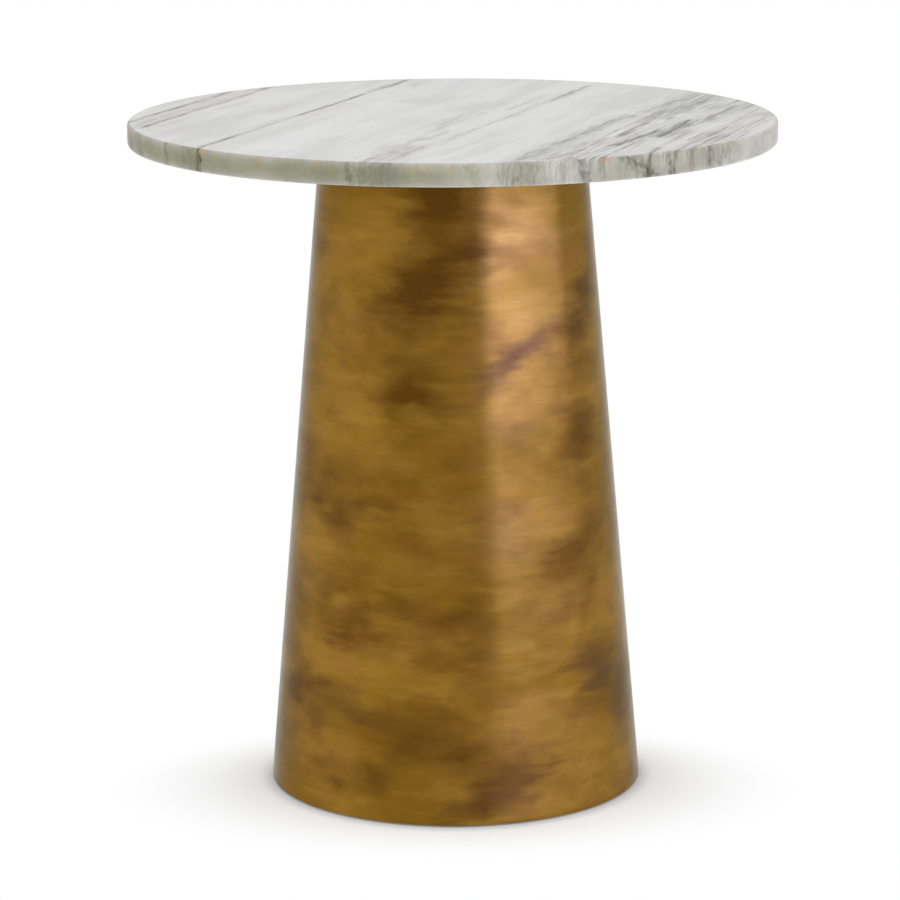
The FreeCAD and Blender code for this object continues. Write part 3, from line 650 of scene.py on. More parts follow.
# Tint, middle across the grain, lean, half width, start and end along the grain, strength, patchiness
VEINS = [
    ("chalk", -62, 0, 22, -200, 70, 0.60, 0.3),
    ("grey", -178, 0, 18, -140, -40, 0.14, 0.6),
    ("rose", -197, 0, 14, -130, 130, 0.12, 0.6),
    ("umber", -207, 0, 1.5, -110, 95, 0.65, 0.4),
    ("umber", -206.5, 0, 1.7, -60, 10, 0.75, 0.4),
    ("mauve", -207.5, 0, 2.6, 58, 92, 0.70, 0.2),
    ("rose", -188, -0.017, 2.6, -130, 135, 0.55, 0.6),
    ("umber", -188, -0.017, 2.0, -125, -30, 0.75, 0.5),
    ("umber", -188, -0.017, 1.6, -30, 120, 0.45, 0.6),
    ("grey", -190, 0, 3.0, 95, 135, 0.60, 0.4),
    ("rose", -176, 0, 3.5, -120, 20, 0.22, 0.7),
    ("grey", -150, 0, 26, -150, 30, 0.10, 0.7),
    ("olive", -132, 0, 9, -20, 120, 0.14, 0.8),
    ("umber", -107, 0, 1.2, -215, 225, 0.50, 0.35),
    ("umber", -107, 0, 1.5, -35, 110, 0.85, 0.35),
    ("umber", -106.5, 0, 2.6, 130, 200, 0.70, 0.5),
    ("umber", -107.5, 0, 2.0, -215, -120, 0.65, 0.45),
    ("rose", -99, 0, 7, -30, 60, 0.22, 0.6),
    ("mauve", -92, 0, 6, 150, 225, 0.25, 0.5),
    ("olive", -122, 0, 5, 120, 190, 0.16, 0.7),
    ("grey", -84, 0, 4, -100, -20, 0.16, 0.8),
    ("grey", -62, 0, 3, 60, 110, 0.16, 0.8),
    ("grey", 4, -0.10, 3.0, -235, 80, 0.32, 0.7),
    ("mauve", 7, -0.10, 5.0, -195, -135, 0.50, 0.6),
    ("mauve", 25, -0.05, 4.5, -225, -140, 0.45, 0.6),
    ("moss", 22, 0, 4.5, -125, -60, 0.40, 0.6),
    ("grey", -7, 0, 8, 20, 90, 0.24, 0.8),
    ("olive", 14, 0, 5, -80, 40, 0.12, 0.7),
    ("moss", 36, 0, 1.9, -120, 215, 0.42, 0.5),
    ("umber", 36.5, 0, 2.4, 95, 205, 0.62, 0.5),
    ("olive", 24, 0, 3.4, 40, 150, 0.34, 0.6),
    ("grey", 58, 0, 3, -190, -60, 0.18, 0.7),
    ("moss", 72, 0, 5, -20, 120, 0.16, 0.7),
    ("moss", 114.5, 0, 9, -215, 60, 0.42, 0.55),
    ("umber", 113, 0, 4.2, -125, -60, 0.55, 0.7),
    ("umber", 114, 0, 3.2, -60, 40, 0.50, 0.7),
    ("olive", 114, 0, 6.5, -190, -120, 0.50, 0.5),
    ("olive", 115, 0, 6, -70, 0, 0.36, 0.5),
    ("moss", 118, 0.03, 4.5, 30, 150, 0.45, 0.6),
    ("moss", 132, 0, 26, 60, 240, 0.40, 0.45),
    ("grey", 126, 0, 2.2, 60, 190, 0.45, 0.7),
    ("grey", 138, 0, 1.6, 80, 200, 0.50, 0.7),
    ("umber", 147, -0.03, 2.0, 90, 200, 0.50, 0.7),
    ("umber", 139, 0, 1.5, -62, 24, 0.75, 0.45),
    ("umber", 152.5, 0.12, 1.5, -185, -115, 0.70, 0.4),
    ("rose", 134, 0, 3.5, -190, -60, 0.32, 0.6),
    ("grey", 150, 0, 14, -200, 60, 0.24, 0.6),
    ("ink", 160, 0.08, 3.4, -112, -15, 0.90, 0.45),
    ("ink", 166, 0, 5.2, -62, 30, 0.92, 0.35),
    ("ink", 163.5, 0, 2.4, -5, 45, 0.85, 0.3),
    ("moss", 148, -0.10, 6.0, 25, 140, 0.55, 0.55),
    ("ink", 174, -0.09, 2.8, -185, -95, 0.75, 0.45),
    ("umber", 172.6, 0, 2.3, 38, 130, 0.78, 0.4),
    ("umber", 171, 0.15, 1.1, -40, 60, 0.60, 0.5),
    ("umber", 182, 0, 1.6, 95, 170, 0.60, 0.5),
    ("grey", 180, 0, 9, 20, 170, 0.40, 0.6),
    ("rose", 196, 0, 4.5, -150, 80, 0.50, 0.5),
    ("umber", 198, 0, 1.2, -150, 20, 0.55, 0.6),
    ("umber", 204, 0, 1.5, -80, -20, 0.65, 0.5),
    ("grey", 208, 0.03, 1.6, -110, 110, 0.60, 0.5),
    ("rose", 214, 0, 4, -100, 60, 0.30, 0.6),
]

# Where thin streaks crowd together: middle, lean, half width, start and end along the grain, strength
STREAKED_BANDS = [
    (152, 0, 42, -250, 250, 1.40),
    (205, 0, 22, -200, 200, 1.25),
    (14, -0.05, 22, -260, -100, 0.90),
    (-197, 0, 17, -150, 150, 0.70),
    (36, 0, 9, -150, 230, 0.50),
    (-107, 0, 8, -230, 230, 0.45),
    (0, 0, 18, -110, 110, 0.45),
    (-60, 0, 60, -230, 230, 0.15),
]
print("veins in the slab:", len(VEINS), "and bands of streaks:", len(STREAKED_BANDS))

# %% [markdown]
# The upright edge of the slab was cut and only rubbed smooth, so it is duller, warmer and stained along its
# upper corner. Where a vein comes out at the edge it leaves a mark, and these too are listed one by one, by
# their angle round the slab.

# %% Colours and patterns of the stone
SLAB_LOW, SLAB_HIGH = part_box("marble_top")
SLAB_RADIUS = SLAB_HIGH.x
SLAB_EASING = 2.5 * MILLIMETRE
STONE_WHITE = seen(228, 228, 227)
STONE_CLOUD = seen(215, 215, 213)
STONE_STREAK = seen(99, 99, 84)
STONE_STREAK_WARM = seen(122, 100, 88)
STONE_LAVENDER = seen(216, 211, 215)
# The edge tints are partly the edge's own warm colour and partly painted light: darker on the left and paler
# on the right, as if lit from the right.
EDGE_TINT_AND_PAINTED_SHADE_LEFT = seen(186, 183, 158)
EDGE_TINT_AND_PAINTED_LIGHT_RIGHT = seen(244, 242, 234)
EDGE_OCHRE = seen(194, 162, 100)
EDGE_MOSS = seen(164, 166, 148)
EDGE_RUST = seen(214, 160, 112)
SAWN_GREY = seen(196, 194, 190)
POLISH = 0.30
STONE_SPECULAR = 0.12
EDGE_ROUGHNESS = 0.45
SAWN_ROUGHNESS = 0.75
SLOW_SWAY = 6
QUICK_SWAY = 2.4
LEAST_STREAKS = 0.06
BROAD_STREAK_SHARE = 0.8
EDGE_STREAKS_LOST = -0.6
EDGE_PATCHINESS = 0.7
LAVENDER_SHARE = 0.7
MOSS_SHARE = 0.35
OCHRE_SHARE = 0.42
RUST_SHARE = 0.6
SAW_MARK_SHARE = 0.4
SAWN_SHARE = 0.65
SAW_MARK_SPACING = (160, 1.4, 10)
BREAK_ROUGHNESS = 0.05
PIT_DEPTH_MM = 0.12

# Sizes of the patterns in millimetres: across the grain, along it and up
PATTERN_SIZES = {
    "slow sway": (150, 130, 60),
    "quick sway": (40, 24, 20),
    "breaks": (2.0, 34, 16),
    "fibres": (0.8, 24, 10),
    "clouds": (22, 190, 50),
    "lavender": (18, 90, 40),
    "thin streaks": (0.9, 64, 16),
    "broad streaks": (3.2, 90, 30),
    "gaps in streaks": (16, 60, 40),
    "crumbs": (1.6, 9, 5),
    "warm streaks": (4, 140, 60),
    "edge clouds": (18, 18, 10),
    "moss": (26, 26, 30),
    "ochre": (4, 4, 45),
    "edge sway": (9, 9, 6),
    "edge breaks": (3.5, 3.5, 5),
    "edge fibres": (4, 4, 4),
    "rust": (11, 11, 20),
    "crystals": (2.2, 3.0, 3.0),
    "pits": (1.5, 1.5, 1.5),
}

# Tint, angle from the front in degrees, slant from top to bottom in degrees, half width, strength
EDGE_MARKS = [
    ("grey", -71.0, 1.0, 3.5, 0.50),
    ("olive", -58.0, 0.5, 0.7, 0.50),
    ("moss", -51.0, 2.0, 3.0, 0.50),
    ("umber", -47.6, 0.3, 0.45, 0.80),
    ("umber", -17.4, 0.5, 0.5, 0.45),
    ("moss", -13.8, -1.0, 3.6, 0.60),
    ("grey", -11.0, 0.8, 1.6, 0.50),
    ("olive", 3.0, 0.5, 1.2, 0.30),
    ("olive", 12.5, -0.6, 2.2, 0.35),
    ("rose", 18.3, 0.0, 0.8, 0.50),
    ("mauve", 21.5, 1.0, 0.9, 0.70),
    ("ink", 29.2, 7.5, 1.1, 0.55),
    ("moss", 31.0, 3.0, 3.0, 0.50),
    ("umber", 38.6, 0.4, 0.6, 0.55),
    ("rose", 43.8, -0.3, 0.9, 0.60),
    ("umber", 48.4, 0.3, 0.5, 0.50),
    ("grey", 53.0, 1.0, 2.4, 0.30),
    ("moss", 64.0, 1.0, 2.0, 0.20),
]
print("marks on the slab's edge:", len(EDGE_MARKS))

# %% [markdown]
# The finish of the slab mixes the veins into a cloudy white. Thin streaks run between them, crowded together
# in a few bands. Then come the tints and marks of the edge, and the saw marks of the underside. Each step
# takes the colour so far and tints it by a mask.

# %% Marble finish
def make_marble():
    """Polished veined marble, rubbed at the edge and sawn underneath."""
    finish, tree, shader, place = new_finish("veined_marble")
    plan = scaled(tree, place, MM_PER_METRE)
    level = split(tree, place)[2]
    depth = times(tree, level, MM_PER_METRE)
    straight_across = vector_work(tree, "DOT_PRODUCT", plan, ACROSS_GRAIN)
    along = vector_work(tree, "DOT_PRODUCT", plan, ALONG_GRAIN)

    def field(pattern, detail=2):
        """The noise of a pattern, with its own size across the grain, along it and up."""
        across_size, along_size, up_size = PATTERN_SIZES[pattern]
        spot = join(tree, work(tree, "DIVIDE", straight_across, across_size),
                    work(tree, "DIVIDE", along, along_size), work(tree, "DIVIDE", depth, up_size))
        return noise(tree, spot, 1, detail)

    slow_sway = times(tree, minus(tree, field("slow sway"), 0.5), SLOW_SWAY)
    quick_sway = times(tree, minus(tree, field("quick sway", 3), 0.5), QUICK_SWAY)
    across = plus(tree, straight_across, plus(tree, slow_sway, quick_sway))
    breaks = ramp(tree, field("breaks", 4), 0.40, 0.60)
    fibres = ramp(tree, field("fibres", 3), 0.35, 0.65)

    clouds = ramp(tree, field("clouds", 3), 0.40, 0.66)
    colour = blend(tree, clouds, STONE_WHITE, STONE_CLOUD)
    lavender = times(tree, ramp(tree, field("lavender", 3), 0.5, 0.7), ramp(tree, across, 40, -120))
    colour = tinted(tree, colour, STONE_LAVENDER, lavender, LAVENDER_SHARE)
    crowded = LEAST_STREAKS
    for *band, strength in STREAKED_BANDS:
        mask = use(tree, STONE_VEIN, across, along, 1, 0.5, *band, 0)
        crowded = work(tree, "MAXIMUM", crowded, times(tree, mask, strength))
    thin_streaks = ramp(tree, field("thin streaks", 3), 0.50, 0.68)
    broad_streaks = ramp(tree, field("broad streaks", 4), 0.46, 0.72)
    streaks = work(tree, "MAXIMUM", thin_streaks, times(tree, broad_streaks, BROAD_STREAK_SHARE))
    patchy = times_plus(tree, ramp(tree, field("gaps in streaks"), 0.36, 0.64), 0.7, 0.3)
    crumbly = ramp(tree, field("crumbs", 3), 0.32, 0.60, 0.45, 1.1)
    patchy = times(tree, patchy, crumbly)
    streaked = times(tree, streaks, patchy, crowded)
    radius = vector_work(tree, "LENGTH", vector_work(tree, "MULTIPLY", place, (1, 1, 0)))
    edge = ramp(tree, radius, SLAB_RADIUS - SLAB_EASING, SLAB_RADIUS - SLAB_EASING / 3)
    streaked = times(tree, streaked, times_plus(tree, edge, EDGE_STREAKS_LOST, 1))
    warm_streaks = ramp(tree, field("warm streaks"), 0.42, 0.58)
    streak_tint = blend(tree, warm_streaks, STONE_STREAK, STONE_STREAK_WARM)
    colour = blend(tree, streaked, colour, streak_tint)
    for tint, *line, strength, patchiness in VEINS:
        mask = use(tree, STONE_VEIN, across, along, breaks, fibres, *line, patchiness)
        colour = tinted(tree, colour, VEIN_TINTS[tint], mask, strength)

    down = ramp(tree, level, SLAB_HIGH.z, SLAB_LOW.z, smooth=False)
    # The edge tint is painted shade on the left and painted light on the right. It is weaker near both
    # corners, a painted highlight along the eased corners.
    from_middle = times_plus(tree, down, 2, -1)
    painted_corner_highlight = times_plus(tree, times(tree, from_middle, from_middle), -0.5, 1)
    edge_tint_and_painted_light = blend(tree, ramp(tree, straight_across, 50, 140), EDGE_TINT_AND_PAINTED_SHADE_LEFT, EDGE_TINT_AND_PAINTED_LIGHT_RIGHT)
    colour = blend(tree, times(tree, edge, painted_corner_highlight), colour, edge_tint_and_painted_light, "MULTIPLY")
    edge_clouds = ramp(tree, field("edge clouds", 4), 0.35, 0.65, 0.92, 1.06)
    colour = blend(tree, edge, colour, shaded(tree, colour, edge_clouds))
    mossy = times(tree, ramp(tree, field("moss", 4), 0.48, 0.70), edge)
    colour = tinted(tree, colour, EDGE_MOSS, mossy, MOSS_SHARE)
    stained = times(tree, ramp(tree, field("ochre", 4), 0.52, 0.70), edge)
    stained = times(tree, stained, ramp(tree, down, 0.85, 0.1))
    colour = tinted(tree, colour, EDGE_OCHRE, stained, OCHRE_SHARE)
    x, y, _ = split(tree, place)
    angle = times(tree, work(tree, "ARCTAN2", x, times(tree, y, -1)), DEGREES_PER_RADIAN)
    angle = plus(tree, angle, minus(tree, field("edge sway", 4), 0.5))
    mottle = ramp(tree, field("edge breaks", 4), 0.36, 0.62)
    ragged = ramp(tree, field("edge fibres", 4), 0.3, 0.7)
    no_ends = (-VEIN_END_FADE, 1 + VEIN_END_FADE)
    for tint, *mark, strength in EDGE_MARKS:
        mask = use(tree, STONE_VEIN, angle, down, mottle, ragged, *mark, *no_ends, EDGE_PATCHINESS)
        mask = times(tree, mask, times(tree, edge, strength))
        colour = blend(tree, mask, colour, VEIN_TINTS[tint])
    corner = ramp(tree, level, SLAB_HIGH.z - 2 * SLAB_EASING, SLAB_HIGH.z - SLAB_EASING / 2)
    rusty = ramp(tree, field("rust", 3), 0.56, 0.72)
    rusty = times(tree, rusty, times(tree, edge, corner))
    colour = tinted(tree, colour, EDGE_RUST, rusty, RUST_SHARE)

    colour = shaded(tree, colour, ramp(tree, field("crystals", 3), 0.3, 0.7, 0.97, 1.03))
    sawn = ramp(tree, level, SLAB_LOW.z + SLAB_EASING / 4, SLAB_LOW.z + SLAB_EASING / 8)
    saw_marks = use(tree, FINE_LINES, place, SAW_MARK_SPACING)
    sawn_colour = tinted(tree, SAWN_GREY, STONE_STREAK, saw_marks, SAW_MARK_SHARE)
    colour = tinted(tree, colour, sawn_colour, sawn, SAWN_SHARE)
    roughness = times_plus(tree, edge, EDGE_ROUGHNESS - POLISH, POLISH)
    roughness = times_plus(tree, breaks, BREAK_ROUGHNESS, roughness)
    roughness = plus(tree, roughness, times(tree, sawn, SAWN_ROUGHNESS - POLISH))
    feed_all(tree, shader, Base_Color=colour, Roughness=roughness, Specular_IOR_Level=STONE_SPECULAR)
    pits = times(tree, field("pits", 3), times_plus(tree, edge, 0.5, 0.1))
    bump(tree, shader, plus(tree, pits, times(tree, saw_marks, sawn)), PIT_DEPTH_MM)
    return finish


MARBLE = make_marble()
print("marble finish:", len(MARBLE.node_tree.nodes), "nodes")

# %% [markdown]
# The slab's outline goes from the middle of its underside to the middle of its top. Both corners are eased to
# a quarter round. A few extra rings near the corners keep the flat faces truly flat.

# %% Marble slab
SLAB_STEPS = 256
EASING_STEPS = 7
FLAT_RING_SHARES = (0.35, 0.7, 0.92)


def slab_outline():
    """Radius and height of the slab's outline, from the axis below to the axis above."""
    inner = SLAB_RADIUS - SLAB_EASING
    points = [(0, SLAB_LOW.z)]
    points += [(inner * share, SLAB_LOW.z) for share in FLAT_RING_SHARES]
    points += quarter_round((inner, SLAB_LOW.z + SLAB_EASING), SLAB_EASING, -math.pi / 2, EASING_STEPS)
    points += quarter_round((inner, SLAB_HIGH.z - SLAB_EASING), SLAB_EASING, 0, EASING_STEPS)
    points += [(inner * share, SLAB_HIGH.z) for share in reversed(FLAT_RING_SHARES)]
    points.append((0, SLAB_HIGH.z))
    return points


marble_slab = spin("marble_slab", slab_outline(), SLAB_STEPS, False, MARBLE)
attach(marble_slab, "base")
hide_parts("marble_top")

# %% [markdown]
# The drum is brass-faced sheet that was darkened with acid and rubbed back by hand while it turned. The
# rubbing left soft brown and violet patches. A few patches are partly painted shade: the dark that the brass
# mirrors down the front from the room behind the camera, and a band of shade just under the slab. One patch
# is a small node group: a soft oval by angle and height. The larger patches at the front are listed one by
# one.

# %% Patches on the brass
# Angle from the front in degrees, height, reach in degrees, reach in height, rise for each degree, strength,
# share of violet. A strength under zero is a place that was rubbed brighter.
TARNISH_AND_PAINTED_SHADE_PATCHES = [
    # The next three darken the front: partly tarnish and partly painted shade, the dark stripe that the brass
    # mirrors from the room behind the camera.
    (-5, 428, 18, 46, 0.0, 1.00, 0.0),
    (-17, 402, 16, 40, 0.0, 0.35, 0.0),
    (2, 90, 24, 44, 0.0, 0.20, 0.0),
    (-4, 381, 22, 17, 0.9, 0.80, 0.1),
    (-16, 362, 14, 28, 0.0, 0.50, 0.2),
    # Partly painted shade: the band of shade just under the slab.
    (-48, 452, 34, 14, 0.0, 0.40, 0.1),
    (-60, 352, 26, 18, 0.0, 0.45, 0.3),
    (-17, 298, 22, 18, 0.0, 0.60, 0.0),
    (-10, 290, 10, 14, 0.0, 0.40, 0.0),
    (28, 330, 19, 12, 0.95, 0.60, 0.9),
    (18, 318, 10, 14, 0.8, 0.50, 0.9),
    (14, 398, 14, 11, 0.0, 0.45, 0.3),
    (60, 352, 18, 26, 0.8, 0.85, 0.3),
    (70, 374, 14, 30, 1.5, 0.50, 0.5),
    (62, 316, 18, 18, 0.0, 0.35, 0.4),
    (53, 268, 12, 34, 1.2, 0.65, 0.2),
    (56, 228, 12, 18, 0.0, 0.40, 0.2),
    (24, 274, 12, 14, 0.0, 0.30, 0.6),
    (-45, 236, 15, 16, 0.0, 0.50, 0.1),
    (-43, 216, 18, 17, -0.3, 0.70, 0.2),
    (-66, 236, 14, 24, 0.0, 0.40, 0.4),
    (-8, 232, 12, 10, 0.0, 0.30, 0.0),
    (14, 200, 12, 26, 0.0, 0.40, 0.6),
    (46, 190, 18, 16, 0.8, 0.55, 0.2),
    (46, 164, 19, 28, 0.0, 0.65, 0.2),
    (-64, 157, 16, 16, 0.0, 0.50, 0.7),
    (-34, 150, 18, 20, 0.0, 0.65, 0.1),
    (-36, 128, 16, 18, 0.0, 0.60, 0.1),
    (-4, 152, 18, 12, 0.0, 0.40, 0.0),
    (8, 130, 12, 18, 0.0, 0.40, 0.2),
    (56, 96, 14, 26, -0.5, 0.80, 0.9),
    (70, 70, 14, 34, 0.0, 0.60, 0.8),
    (-44, 78, 30, 16, -0.2, 0.55, 0.4),
    (-10, 62, 18, 18, 0.0, 0.40, 0.2),
    (-6, 44, 14, 14, 0.0, 0.40, 0.1),
    (13, 28, 18, 20, 0.8, 0.75, 0.5),
    (30, 46, 12, 12, 0.8, 0.40, 0.3),
    (-34, 30, 18, 18, 0.0, 0.55, 0.2),
    (-66, 56, 16, 40, 0.0, 0.40, 0.4),
    (-30, 120, 40, 90, 0.0, 0.15, 0.0),
    (18, 56, 14, 46, 0.0, 0.32, 0.2),
    (20, 150, 10, 30, 0.0, 0.20, 0.3),
    (42, 300, 10, 60, 0.0, 0.20, 0.2),
    (-34, 104, 34, 12, -0.15, -0.45, 0.0),
    (-50, 120, 14, 14, 0.0, -0.35, 0.0),
    (-50, 420, 24, 30, 0.0, -0.25, 0.0),
    (-50, 278, 26, 20, 0.0, -0.30, 0.0),
    (-52, 186, 24, 16, 0.0, -0.25, 0.0),
    (24, 78, 22, 14, 0.5, -0.35, 0.0),
    (60, 215, 22, 14, 0.0, -0.20, 0.0),
    (54, 424, 14, 34, 0.0, -0.50, 0.0),
    (66, 430, 12, 34, 0.0, -0.45, 0.0),
    (62, 240, 12, 30, 0.0, -0.30, 0.0),
    (58, 20, 14, 14, 0.0, -0.30, 0.0),
    (-58, 18, 14, 14, 0.0, -0.40, 0.0),
]


def make_soft_oval_patch():
    """A soft oval patch on the drum, by angle and height."""
    names = ("Angle", "Height", "Patch Angle", "Patch Height", "Angle Reach", "Height Reach", "Rise")
    tree, given = new_group("rubbed_patch", "ShaderNodeTree", dict.fromkeys(names, "Float"), "Mask", "Float")
    turned = minus(tree, given["Angle"], given["Patch Angle"])
    middle = times_plus(tree, turned, given["Rise"], given["Patch Height"])
    sideways = work(tree, "DIVIDE", turned, given["Angle Reach"])
    upwards = work(tree, "DIVIDE", minus(tree, given["Height"], middle), given["Height Reach"])
    squared = times_plus(tree, sideways, sideways, times(tree, upwards, upwards))
    return finish_group(tree, ramp(tree, work(tree, "SQRT", squared), 1.5, 0))


SOFT_OVAL_PATCH = make_soft_oval_patch()
print("patches placed by hand:", len(TARNISH_AND_PAINTED_SHADE_PATCHES))

# %% [markdown]
# The finish of the brass has three scales of pattern: those patches, a slow drift from olive to pale gold,
# and fine strokes round the drum. Strokes round the drum also stretch its reflections up and down, which is
# what the shader's anisotropy does. A thin coat of lacquer adds its own soft gloss. The back has the same
# patches as the front, mirrored and shifted in height.

# %% Antiqued brass
BRASS_GOLD = seen(147, 108, 37)
BRASS_PALE = seen(160, 121, 47)
BRASS_OLIVE = seen(126, 91, 18)
BRASS_COPPER = seen(142, 99, 43)
BRASS_BROWN = seen(92, 58, 2)
BRASS_VIOLET = seen(84, 60, 42)
BRASS_EDGE_TINT = (0.55, 0.54, 0.47, 1)
BRASS_ROUGHNESS = 0.26
LACQUER_ROUGHNESS = 0.32
LACQUER_WEIGHT = 0.5
LACQUER_IOR = 1.2
BRASS_ANISOTROPY = 0.85
QUARTER_TURN_SHARE = 0.25
BACK_FROM_DEGREES = 90
BACK_TO_DEGREES = 135
BACK_SHIFT = 60
SMEAR_DEGREES = 7
SMEAR_HEIGHT = 14
SWAYS_IN_A_METRE = (22, 22, 26)
RAGGED_TARNISH = 1.1
STROKE_TARNISH = 0.14
MOTTLE_TARNISH = 0.4
PALE_SHARE = 0.5
COPPER_SHARE = 0.45
BROWN_SHARE = 0.9
VIOLET_SHARE = 0.75
LEAST_LIGHT = 0.895
SMEAR_LIGHT = 0.11
STROKE_LIGHT = 0.07
UPRIGHT_LIGHT = 0.03
TARNISH_ROUGHNESS = 0.10
STROKE_ROUGHNESS = 0.05
STROKE_DEPTH_MM = 0.004

# Spacing of the strokes, in millimetres
STROKES = (70, 70, 0.9)
BROAD_STROKES = (75, 75, 9)
UPRIGHT_STROKES = (2.2, 2.2, 60)

# Soft patches: size in millimetres, the two ends of the noise that they fade between, raggedness
RAGGED = ((80, 80, 34), 0.2, 0.8, 0.62)
MOTTLE = ((24, 24, 17), 0.3, 0.7, 0.4)
DRIFT = ((120, 120, 60), 0.36, 0.64, 0.5)
GLEAM = ((75, 75, 16), 0.48, 0.72, 0.6)
COPPERY = ((50, 50, 34), 0.5, 0.7, 0.55)
SMEARS = ((30, 30, 6), 0.3, 0.7, 0.65)


def make_antiqued_brass():
    """Darkened brass, rubbed back round the drum."""
    finish, tree, shader, place = new_finish("antiqued_brass")
    x, y, z = split(tree, place)
    angle = work(tree, "ARCTAN2", x, times(tree, y, -1))
    from_front = times(tree, work(tree, "ABSOLUTE", angle), DEGREES_PER_RADIAN)
    degrees = times(tree, work(tree, "ARCSINE", work(tree, "SINE", angle)), DEGREES_PER_RADIAN)
    back_shift = ramp(tree, from_front, BACK_FROM_DEGREES, BACK_TO_DEGREES, 0, BACK_SHIFT)
    height = times_plus(tree, z, MM_PER_METRE, back_shift)
    strokes = use(tree, FINE_LINES, place, STROKES)
    broad_strokes = use(tree, FINE_LINES, place, BROAD_STROKES)
    ragged = use(tree, SOFT_PATCHES, place, *RAGGED)
    sway = noise(tree, vector_work(tree, "MULTIPLY", place, SWAYS_IN_A_METRE), 1, 3)
    smeared_angle = moved(tree, degrees, broad_strokes, 2 * SMEAR_DEGREES)
    smeared_height = moved(tree, height, sway, 2 * SMEAR_HEIGHT)
    # The patches add up to tarnish, and to painted shade at the front and under the slab.
    tarnish_and_painted_shade = 0
    violet = 0
    for *oval_patch, strength, violet_share in TARNISH_AND_PAINTED_SHADE_PATCHES:
        patch = times(tree, use(tree, SOFT_OVAL_PATCH, smeared_angle, smeared_height, *oval_patch), strength)
        tarnish_and_painted_shade = plus(tree, tarnish_and_painted_shade, patch)
        violet = work(tree, "MAXIMUM", violet, times(tree, patch, violet_share))
    tarnish_and_painted_shade = moved(tree, tarnish_and_painted_shade, ragged, RAGGED_TARNISH)
    tarnish_and_painted_shade = moved(tree, tarnish_and_painted_shade, strokes, STROKE_TARNISH)
    mottle = use(tree, SOFT_PATCHES, place, *MOTTLE)
    tarnish_and_painted_shade = moved(tree, tarnish_and_painted_shade, mottle, MOTTLE_TARNISH)
    tarnish_and_painted_shade = ramp(tree, tarnish_and_painted_shade, -0.1, 1.1, smooth=False)
    drift = use(tree, SOFT_PATCHES, place, *DRIFT)
    gleam = use(tree, SOFT_PATCHES, place, *GLEAM)
    coppery = use(tree, SOFT_PATCHES, place, *COPPERY)
    colour = blend(tree, drift, BRASS_OLIVE, BRASS_GOLD)
    colour = tinted(tree, colour, BRASS_PALE, gleam, PALE_SHARE)
    colour = tinted(tree, colour, BRASS_COPPER, coppery, COPPER_SHARE)
    colour = tinted(tree, colour, BRASS_BROWN, tarnish_and_painted_shade, BROWN_SHARE)
    colour = tinted(tree, colour, BRASS_VIOLET, violet, VIOLET_SHARE)
    smears = use(tree, SOFT_PATCHES, place, *SMEARS)
    upright_strokes = use(tree, FINE_LINES, place, UPRIGHT_STROKES)
    light = times_plus(tree, smears, SMEAR_LIGHT, LEAST_LIGHT)
    light = times_plus(tree, strokes, STROKE_LIGHT, light)
    colour = shaded(tree, colour, times_plus(tree, upright_strokes, UPRIGHT_LIGHT, light))
    roughness = times_plus(tree, tarnish_and_painted_shade, TARNISH_ROUGHNESS, BRASS_ROUGHNESS)
    roughness = times_plus(tree, strokes, STROKE_ROUGHNESS, roughness)
    round_drum = add(tree, "ShaderNodeTangent", direction_type="RADIAL", axis="Z").outputs[0]
    feed_all(tree, shader, Base_Color=colour, Roughness=roughness, Metallic=1, Specular_Tint=BRASS_EDGE_TINT,
             Coat_Weight=LACQUER_WEIGHT, Coat_Roughness=LACQUER_ROUGHNESS, Coat_IOR=LACQUER_IOR,
             Anisotropic=BRASS_ANISOTROPY, Anisotropic_Rotation=QUARTER_TURN_SHARE, Tangent=round_drum)
    bump(tree, shader, strokes, STROKE_DEPTH_MM)
    return finish


BRASS = make_antiqued_brass()
print("brass finish:", len(BRASS.node_tree.nodes), "nodes")

# %% [markdown]
# The drum's outline is a thin closed loop: up the outside, round the upper lip, down the inside and round the
# lower lip. The rows are closer together near the lips, where a smooth wall would otherwise shade wrongly.

# %% Brass drum
DRUM_STEPS = 192
LIP_STEPS = 5
WALL_ROW_SHARES = [0.0, 0.004, 0.015] + [row / 24 for row in range(1, 24)] + [0.985, 0.996, 1.0]
WALL_STRAY = 0.12 * MILLIMETRE
WALL_STRAY_WIDTH = 90 * MILLIMETRE

DRUM_LOW, DRUM_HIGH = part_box("base_cone")
FOOT_INNER, FOOT_OUTER = rim_radii("base_cone", DRUM_LOW.z)
MOUTH_INNER, MOUTH_OUTER = rim_radii("base_cone", DRUM_HIGH.z)


def drum_outline():
    """Radius and height of the drum's closed outline."""
    lip = (FOOT_OUTER - FOOT_INNER) / 2
    low = DRUM_LOW.z + lip
    high = DRUM_HIGH.z - lip
    upper = ((MOUTH_INNER + MOUTH_OUTER) / 2, high)
    lower = ((FOOT_INNER + FOOT_OUTER) / 2, low)

    def wall(foot, mouth):
        """Points up a wall from its foot to its mouth."""
        return [(part_way(foot, mouth, share), part_way(low, high, share)) for share in WALL_ROW_SHARES]

    points = wall(FOOT_OUTER, MOUTH_OUTER)
    points += quarter_round(upper, lip, 0, LIP_STEPS)[1:]
    points += quarter_round(upper, lip, math.pi / 2, LIP_STEPS)[1:-1]
    points += reversed(wall(FOOT_INNER, MOUTH_INNER))
    points += quarter_round(lower, lip, math.pi, LIP_STEPS)[1:]
    points += quarter_round(lower, lip, 3 * math.pi / 2, LIP_STEPS)[1:-1]
    return points


brass_drum = spin("brass_drum", drum_outline(), DRUM_STEPS, True, BRASS, WALL_STRAY, WALL_STRAY_WIDTH)
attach(brass_drum, "base")
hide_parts("base_cone")
card_lights.objects.link(brass_drum)

